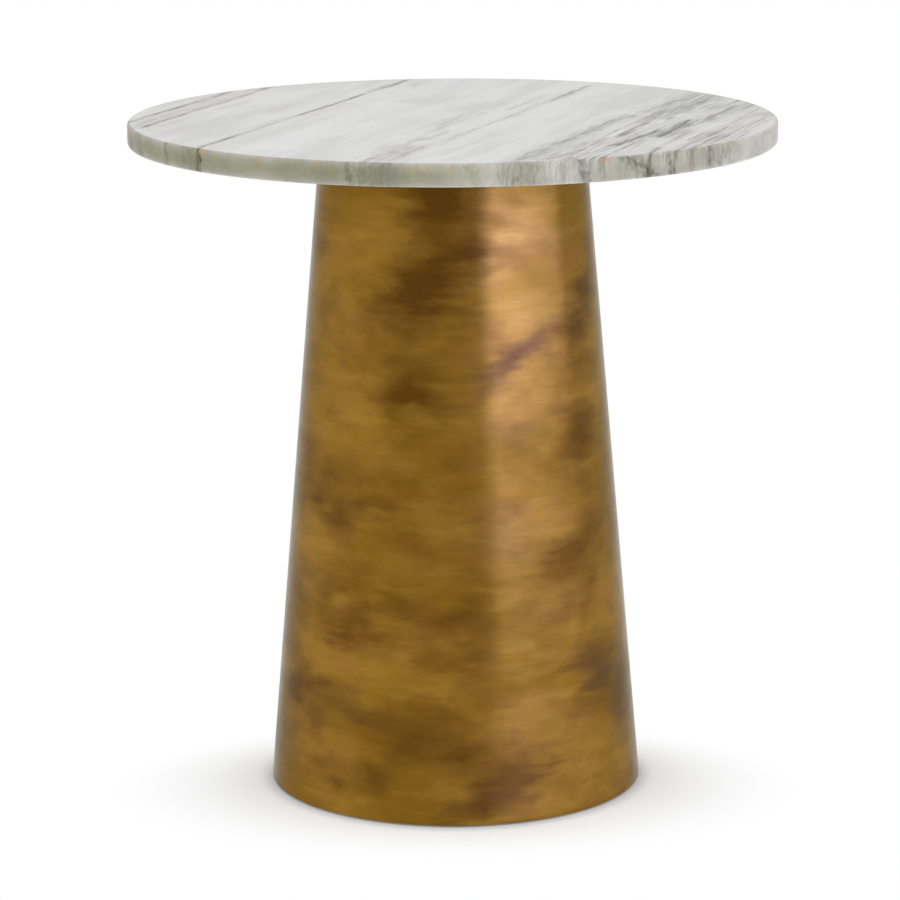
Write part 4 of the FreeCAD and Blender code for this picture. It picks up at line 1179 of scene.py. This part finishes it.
# %% [markdown]
# Nobody polished the inside of the drum. It is the bare back of the sheet, dull with oxide, so that it is
# less of a mirror, with lines from the rolling mill. Beside the welds the heat left bands of brown and blue.
# The drum is one piece with two finishes: each face that looks towards the axis takes the second one.

# %% Inside of the drum
BARE_BRASS = seen(168, 138, 84)
BARE_BRASS_DULL = seen(128, 104, 66)
HEAT_BROWN = seen(84, 54, 36)
HEAT_BLUE = seen(66, 68, 86)
HEAT_REACH = 16 * MILLIMETRE
BARE_BRASS_METALLIC = 0.4
BARE_BRASS_ROUGHNESS = 0.42
MILL_LINE_SPACING = (90, 90, 1.2)
MILL_LINE_DEPTH_MM = 0.01
DULL_PATCHES = ((60, 60, 30), 0.38, 0.66, 0.6)
PLATE_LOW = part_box("base_top_plate")[0]
RING_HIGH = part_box("foot_ring")[1]


def make_bare_brass():
    """The unpolished back of the sheet, tinted by heat beside the welds."""
    finish, tree, shader, place = new_finish("bare_brass")
    level = split(tree, place)[2]
    mill_lines = use(tree, FINE_LINES, place, MILL_LINE_SPACING)
    dull = use(tree, SOFT_PATCHES, place, *DULL_PATCHES)
    colour = blend(tree, dull, BARE_BRASS, BARE_BRASS_DULL)
    uneven = minus(tree, noise(tree, place, 60, 3), 0.5)
    for weld_level in (PLATE_LOW.z, RING_HIGH.z):
        away = work(tree, "ABSOLUTE", minus(tree, level, weld_level))
        away = times_plus(tree, uneven, HEAT_REACH, away)
        colour = blend(tree, ramp(tree, away, HEAT_REACH, HEAT_REACH / 3), colour, HEAT_BROWN)
        colour = blend(tree, ramp(tree, away, HEAT_REACH / 2, 0), colour, HEAT_BLUE)
    roughness = times_plus(tree, dull, 0.12, BARE_BRASS_ROUGHNESS)
    roughness = times_plus(tree, mill_lines, 0.06, roughness)
    feed_all(tree, shader, Base_Color=colour, Roughness=roughness, Metallic=BARE_BRASS_METALLIC)
    bump(tree, shader, mill_lines, MILL_LINE_DEPTH_MM)
    return finish


brass_drum.data.materials.append(make_bare_brass())
inside_faces = 0
for face in brass_drum.data.polygons:
    if face.normal.x * face.center.x + face.normal.y * face.center.y < 0:
        face.material_index = 1
        inside_faces += 1
print("faces inside the drum:", inside_faces)

# %% [markdown]
# The small parts are ordinary hardware. Raw plate is dark from the rolling mill, with brown oxide where it
# was handled. Zinc plating is pale and faintly mottled. The screws are black from an oil bath, with duller
# bloom. One function makes all three, because only their colours and numbers differ.

# %% Steel finishes
# The two ends of the noise that stains fade between, and their raggedness. Specks have a size before these.
STAINS = (0.42, 0.66, 0.65)
SPECKS = ((1.4, 1.4, 1.4), 0.58, 0.70, 0.6)
STEEL_RELIEF_MM = 0.02


def make_steel(name, plain, stain, patch_size, line_spacing, roughness, stain_share):
    """Steel with lines from its making, soft stains and specks."""
    finish, tree, shader, place = new_finish(name)
    lines = use(tree, FINE_LINES, place, line_spacing)
    stains = use(tree, SOFT_PATCHES, place, patch_size, *STAINS)
    specks = use(tree, SOFT_PATCHES, place, *SPECKS)
    colour = tinted(tree, seen(*plain), seen(*stain), stains, stain_share)
    colour = tinted(tree, colour, seen(*stain), specks, stain_share / 2)
    colour = shaded(tree, colour, times_plus(tree, lines, 0.2, 0.9))
    worn = times_plus(tree, lines, 0.08, times_plus(tree, stains, 0.15, roughness))
    feed_all(tree, shader, Base_Color=colour, Roughness=worn, Metallic=1)
    bump(tree, shader, times_plus(tree, specks, -0.5, lines), STEEL_RELIEF_MM)
    return finish


RAW_STEEL = make_steel("raw_steel", (146, 143, 140), (112, 94, 80), (38, 38, 20), (60, 1.2, 4), 0.42, 0.7)
ZINC_STEEL = make_steel("zinc_steel", (196, 196, 194), (160, 162, 158), (7, 7, 7), (12, 12, 0.5), 0.30, 0.9)
BLACK_STEEL = make_steel("black_steel", (62, 62, 64), (84, 80, 76), (4, 4, 4), (6, 6, 0.4), 0.36, 0.6)
print("steel finishes:", RAW_STEEL.name, ZINC_STEEL.name, BLACK_STEEL.name)

# %% [markdown]
# The disc under the slab is plywood. Each of its sheets is turned a quarter way from the last, so at the edge
# long grain takes turns with end grain, parted by thin glue lines. The pattern is a rule about height, so it
# is right on the faces and at the edge alike. The gasket is black foam with tiny cells. The glides' soles are
# turned nylon, greyed where they rub on the floor.

# %% Wood, foam and nylon
PLY_COUNT = 5
PLY_INSET = 0.01
GRAIN_ONE_WAY = (70, 2.4, 2.4)
GRAIN_OTHER_WAY = (2.4, 70, 2.4)
PORE_SPACING = (8, 0.5, 0.5)
WOOD_RELIEF_MM = 0.05
WOOD_PALE = seen(214, 182, 136)
WOOD_DARK = seen(178, 140, 94)
WOOD_END_GRAIN = seen(150, 112, 72)
GLUE_BROWN = seen(92, 64, 42)
FOAM_BLACK = seen(38, 38, 40)
FOAM_DUST = seen(70, 68, 66)
FOAM_CELL = 0.9 * MILLIMETRE
FOAM_RELIEF_MM = 0.25
DUST = ((20, 20, 6), 0.4, 0.7, 0.6)
NYLON_WHITE = seen(206, 202, 190)
NYLON_GREY = seen(172, 168, 158)
NYLON_WORN_HEIGHT = 1.2 * MILLIMETRE
NYLON_RELIEF_MM = 0.02
TURNING_SPACING = (14, 14, 0.4)
SCUFFS = ((9, 1.2, 3), 0.42, 0.62, 0.6)
DISC_LOW, DISC_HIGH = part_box("mounting_disc")


def make_plywood():
    """Plywood with its layers across the disc's thickness."""
    finish, tree, shader, place = new_finish("plywood")
    level = split(tree, place)[2]
    sheet = ramp(tree, level, DISC_LOW.z, DISC_HIGH.z, PLY_INSET, PLY_COUNT - PLY_INSET, smooth=False)
    crosswise = work(tree, "MODULO", work(tree, "FLOOR", sheet), 2)
    one_way = use(tree, FINE_LINES, place, GRAIN_ONE_WAY)
    other_way = use(tree, FINE_LINES, place, GRAIN_OTHER_WAY)
    grain = times_plus(tree, minus(tree, other_way, one_way), crosswise, one_way)
    pores = use(tree, FINE_LINES, place, PORE_SPACING)
    colour = blend(tree, grain, WOOD_PALE, WOOD_DARK)
    colour = blend(tree, ramp(tree, pores, 0.7, 0.9, 0, 0.5), colour, WOOD_END_GRAIN)
    colour = tinted(tree, colour, WOOD_END_GRAIN, crosswise, 0.45)
    from_middle = work(tree, "ABSOLUTE", minus(tree, work(tree, "FRACT", sheet), 0.5))
    colour = blend(tree, ramp(tree, from_middle, 0.44, 0.49, 0, 0.8), colour, GLUE_BROWN)
    feed_all(tree, shader, Base_Color=colour, Roughness=times_plus(tree, grain, 0.15, 0.6))
    bump(tree, shader, plus(tree, grain, pores), WOOD_RELIEF_MM)
    return finish


def make_foam():
    """Black foam sheet with small cells and a little dust."""
    finish, tree, shader, place = new_finish("foam_sheet")
    cells = add_fed(tree, "ShaderNodeTexVoronoi", Vector=place, Scale=1 / FOAM_CELL).outputs["Distance"]
    dust = use(tree, SOFT_PATCHES, place, *DUST)
    colour = tinted(tree, FOAM_BLACK, FOAM_DUST, dust, 0.6)
    feed_all(tree, shader, Base_Color=colour, Roughness=times_plus(tree, dust, 0.08, 0.88))
    bump(tree, shader, cells, FOAM_RELIEF_MM)
    return finish


def make_nylon():
    """Pale nylon with faint turning lines, worn grey near the floor."""
    finish, tree, shader, place = new_finish("nylon")
    level = split(tree, place)[2]
    lines = use(tree, FINE_LINES, place, TURNING_SPACING)
    scuffs = use(tree, SOFT_PATCHES, place, *SCUFFS)
    worn = times(tree, ramp(tree, level, NYLON_WORN_HEIGHT, 0), times_plus(tree, scuffs, 0.7, 0.3))
    colour = blend(tree, worn, NYLON_WHITE, NYLON_GREY)
    roughness = times_plus(tree, lines, 0.05, times_plus(tree, worn, 0.2, 0.45))
    feed_all(tree, shader, Base_Color=colour, Roughness=roughness)
    bump(tree, shader, plus(tree, lines, scuffs), NYLON_RELIEF_MM)
    return finish


FINISHES = {
    "marble": MARBLE,
    "antique_brass": BRASS,
    "plywood": make_plywood(),
    "foam_sheet": make_foam(),
    "raw_steel": RAW_STEEL,
    "zinc_steel": ZINC_STEEL,
    "black_steel": BLACK_STEEL,
    "nylon": make_nylon(),
}
for entry in frame["record"]["subparts"]:
    for place_for_finish in NODES[entry["node"]].material_slots:
        place_for_finish.material = FINISHES[entry["material_slot"]]

# %% [markdown]
# The plate and the ring are welded to the drum in short stitches, so that the heat does not buckle the thin
# sheet. A weld bead is a row of ripples, one for each drop of molten metal. The tree takes plain lines as its
# paths and lays a tube along each. The tube's thickness follows the ripples, strays a little, and comes to a
# round end where the welder stopped. Small balls in a row could do it too, but they would overlap inside.

# %% The weld tree
STEPS_FOR_EACH_RIPPLE = 4
BEAD_SIDES = 10
BEAD_TIP_SHARE = 0.02
BEAD_STRAY_SCALE = 300


def make_weld_tree():
    """A tree that lays rippled weld beads along lines."""
    inputs = {"Paths": "Geometry", "Bead Radius": "Float", "Ripple Length": "Float",
              "Ripple Depth": "Float", "Unevenness": "Float", "Finish": "Material"}
    tree, given = new_group("weld_bead", "GeometryNodeTree", inputs, "Beads", "Geometry")
    lines = add_fed(tree, "GeometryNodeMeshToCurve", Mesh=given["Paths"])
    fine = add(tree, "GeometryNodeResampleCurve", mode="LENGTH")
    ripple_step = work(tree, "DIVIDE", given["Ripple Length"], STEPS_FOR_EACH_RIPPLE)
    feed_all(tree, fine, Curve=lines.outputs[0], Length=ripple_step)
    along = add(tree, "GeometryNodeSplineParameter").outputs["Length"]
    full_length = add(tree, "GeometryNodeSplineLength").outputs["Length"]
    to_end = work(tree, "MINIMUM", along, minus(tree, full_length, along))
    taper = ramp(tree, to_end, 0, given["Bead Radius"], BEAD_TIP_SHARE, 1, smooth=False)
    rounding = work(tree, "SQRT", taper)
    turn = times(tree, work(tree, "DIVIDE", along, given["Ripple Length"]), math.pi)
    valley = minus(tree, 1, work(tree, "ABSOLUTE", work(tree, "SINE", turn)))
    ripple = minus(tree, 1, times(tree, valley, given["Ripple Depth"]))
    here = add(tree, "GeometryNodeInputPosition").outputs[0]
    stray = minus(tree, noise(tree, here, BEAD_STRAY_SCALE), 0.5)
    swell = times_plus(tree, stray, given["Unevenness"], 1)
    thickness = times(tree, rounding, ripple, swell, given["Bead Radius"])
    section = add_fed(tree, "GeometryNodeCurvePrimitiveCircle", Resolution=BEAD_SIDES, Radius=1.0)
    tube = add_fed(tree, "GeometryNodeCurveToMesh", Curve=fine.outputs[0], Profile_Curve=section.outputs[0],
                   Scale=thickness, Fill_Caps=True)
    smooth = add_fed(tree, "GeometryNodeSetShadeSmooth", Geometry=tube.outputs[0])
    return finish_shape(tree, smooth, given["Finish"])


WELD_BEAD = make_weld_tree()
print("weld tree:", len(WELD_BEAD.nodes), "nodes")

# %% [markdown]
# Twelve stitches hold the plate from below, and twelve hold the ring from above, all clear of the glides.
# Each weld nut has three tacks, and one long bead at the back closes the sheet. These are looks only: in the
# frame a thin gap stands for each weld.

# %% Welds
STITCH_COUNT = 12
PLATE_STITCH = 28 * MILLIMETRE
RING_STITCH = 32 * MILLIMETRE
TACK_COUNT = 3
TACK_ARC = math.radians(50)
ARC_POINTS = 12
BEAD_RADIUS = 2.0 * MILLIMETRE
SEAM_RADIUS = 1.4 * MILLIMETRE
TACK_RADIUS = 1.3 * MILLIMETRE
BEAD_SHARE_INSIDE = 0.65
RIPPLE_LENGTH_SHARE = 0.8
RIPPLE_DEPTH = 0.16
BEAD_UNEVENNESS = 0.5
SEAM_CLEARANCE = 14 * MILLIMETRE
WELD_STEEL = make_steel("weld_steel", (128, 124, 122), (76, 60, 56), (9, 9, 9), (3, 3, 3), 0.38, 0.9)


def arc(centre, radius, level, middle, spread):
    """Points on an arc round an upright line at one level."""
    points = []
    for step in range(ARC_POINTS + 1):
        angle = middle + spread * (step / ARC_POINTS - 0.5)
        points.append((centre[0] + radius * math.cos(angle), centre[1] + radius * math.sin(angle), level))
    return points


def inside_wall(level, bead_radius):
    """The radius at a level for a bead that lies on the drum's inner face."""
    share = (level - DRUM_LOW.z) / (DRUM_HIGH.z - DRUM_LOW.z)
    return part_way(FOOT_INNER, MOUTH_INNER, share) - BEAD_SHARE_INSIDE * bead_radius


def stitches(level, length):
    """Short arcs on the drum's inner face, evenly spaced and clear of the glides."""
    radius = inside_wall(level, BEAD_RADIUS)
    step = 2 * math.pi / STITCH_COUNT
    middles = [(number + 0.5) * step for number in range(STITCH_COUNT)]
    return [arc((0, 0), radius, level, middle, length / radius) for middle in middles]


def weld(name, paths, bead_radius):
    """Weld beads along these paths, as one piece that rides on the base."""
    points = []
    edges = []
    for path in paths:
        first = len(points)
        points += path
        edges += in_a_row(first, len(points) - 1)
    piece = new_piece(name, points, edges)
    run_tree(piece, WELD_BEAD, bead_radius=bead_radius, ripple_length=RIPPLE_LENGTH_SHARE * bead_radius,
             ripple_depth=RIPPLE_DEPTH, unevenness=BEAD_UNEVENNESS, finish=WELD_STEEL)
    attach(piece, "base")
    faces = len(piece.data.polygons)
    volume = round(volume_of(piece) * MM_PER_METRE ** 3)
    print(name, len(paths), "beads,", faces, "faces,", volume, "cubic millimetres")


def glide_axis(number):
    """A point on the upright axis of a glide: the middle of its cup."""
    low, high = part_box("glide_cup_%d" % number)
    return (low + high) / 2


weld("plate_welds", stitches(PLATE_LOW.z, PLATE_STITCH), BEAD_RADIUS)
weld("ring_welds", stitches(RING_HIGH.z, RING_STITCH), BEAD_RADIUS)

nut_tacks = []
nuts_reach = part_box("weld_nuts")[1].x
for number in GLIDES:
    axis = glide_axis(number)
    facing = math.atan2(axis.y, axis.x)
    to_flat = (nuts_reach - math.hypot(axis.x, axis.y)) * math.cos(math.pi / 6)
    for tack in range(TACK_COUNT):
        middle = facing + math.pi / 6 + 2 * math.pi * tack / TACK_COUNT
        nut_tacks.append(arc(axis, to_flat, RING_HIGH.z, middle, TACK_ARC))
weld("nut_tacks", nut_tacks, TACK_RADIUS)

seam_levels = (RING_HIGH.z + SEAM_CLEARANCE, PLATE_LOW.z - SEAM_CLEARANCE)
weld("seam_weld", [[(0, inside_wall(level, SEAM_RADIUS), level) for level in seam_levels]], SEAM_RADIUS)

# %% [markdown]
# A glide's stud is turned like the slab and the drum, and the same tree cuts its thread: the groove is a
# zigzag that climbs one pitch for each turn. The hexagon collar and the screwdriver slot are not round, so
# the collar is joined on and the slot is cut away. The frame has a plain rod here, as wide as the thread's
# crests.

# %% Threaded studs
THREAD_PITCH = 1.25 * MILLIMETRE
THREAD_DEPTH = 0.65 * MILLIMETRE
ROWS_FOR_EACH_TURN = 8
STUD_STEPS = 32
STUD_RADIUS = 4.0 * MILLIMETRE
TIP_CHAMFER = 1.0 * MILLIMETRE
PIN_RADIUS = 3.0 * MILLIMETRE
RIVET_RADIUS = 5.0 * MILLIMETRE
RIVET_HEIGHT = 1.5 * MILLIMETRE
SWIVEL_PLAY = 0.15 * MILLIMETRE
COLLAR_SIDES = 6
COLLAR_CORNER = 7.5 * MILLIMETRE
COLLAR_HEIGHT = 4.0 * MILLIMETRE
COLLAR_EASING = 0.5 * MILLIMETRE
SLOT_WIDTH = 1.2 * MILLIMETRE
SLOT_DEPTH = 2.0 * MILLIMETRE

stud_low, stud_high = (corner.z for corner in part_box("glide_stud_1"))
collar_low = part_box("glide_cup_1")[1].z + SWIVEL_PLAY
collar_high = collar_low + COLLAR_HEIGHT


def rod_outline():
    """Radius and height of a stud without its collar: rivet head, pin and rod."""
    inside_collar = (collar_low + collar_high) / 2
    rivet_high = stud_low + RIVET_HEIGHT
    points = [(0, stud_low), (RIVET_RADIUS, stud_low), (RIVET_RADIUS, rivet_high)]
    points += [(PIN_RADIUS, rivet_high), (PIN_RADIUS, inside_collar)]
    straight_end = stud_high - TIP_CHAMFER
    rows = round((straight_end - inside_collar) / THREAD_PITCH * ROWS_FOR_EACH_TURN)
    points += [(STUD_RADIUS, part_way(inside_collar, straight_end, row / rows)) for row in range(rows + 1)]
    points += [(STUD_RADIUS - TIP_CHAMFER, stud_high), (0, stud_high)]
    return points


def collar_outline():
    """Radius at the corners and height of the collar, which has six steps round."""
    eased = COLLAR_CORNER - COLLAR_EASING
    return [(0, collar_low), (eased, collar_low), (COLLAR_CORNER, collar_low + COLLAR_EASING),
            (COLLAR_CORNER, collar_high - COLLAR_EASING), (eased, collar_high), (0, collar_high)]


def cut_slot(rod):
    """Cut the screwdriver slot across the top of a rod."""
    long = 2 * STUD_RADIUS
    half = SLOT_WIDTH / 2
    corners = []
    for level in (stud_high - SLOT_DEPTH, stud_high + SLOT_DEPTH):
        corners += [(-long, -half, level), (long, -half, level), (long, half, level), (-long, half, level)]
    faces = [(3, 2, 1, 0), (4, 5, 6, 7), (0, 1, 5, 4), (1, 2, 6, 5), (2, 3, 7, 6), (3, 0, 4, 7)]
    cutter = new_piece("slot", corners, faces=faces)
    modifier = rod.modifiers.new("slot", "BOOLEAN")
    modifier.operation = "DIFFERENCE"
    modifier.object = cutter
    plain_mesh(rod)
    bpy.data.objects.remove(cutter)


stud_thread = (THREAD_DEPTH, THREAD_PITCH, collar_high, stud_high - TIP_CHAMFER)
rod = spin("stud_rod", rod_outline(), STUD_STEPS, False, ZINC_STEEL, thread=stud_thread)
cut_slot(rod)
collar = spin("stud_collar", collar_outline(), COLLAR_SIDES, False, ZINC_STEEL)
collar.data.polygons.foreach_set("use_smooth", [False] * len(collar.data.polygons))
both_shapes = bmesh.new()
for shape in (rod, collar):
    both_shapes.from_mesh(shape.data)
    bpy.data.objects.remove(shape)
for number in GLIDES:
    axis = glide_axis(number)
    stud = new_piece("threaded_stud_%d" % number, [])
    both_shapes.to_mesh(stud.data)
    stud.data.materials.append(ZINC_STEEL)
    stud.data.transform(Matrix.Translation((axis.x, axis.y, 0)))
    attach(stud, "glide_%d_stud" % number)
    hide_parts("glide_stud_%d" % number)
both_shapes.free()
print("threaded studs:", len(GLIDES), "with", len(stud.data.polygons), "faces each")
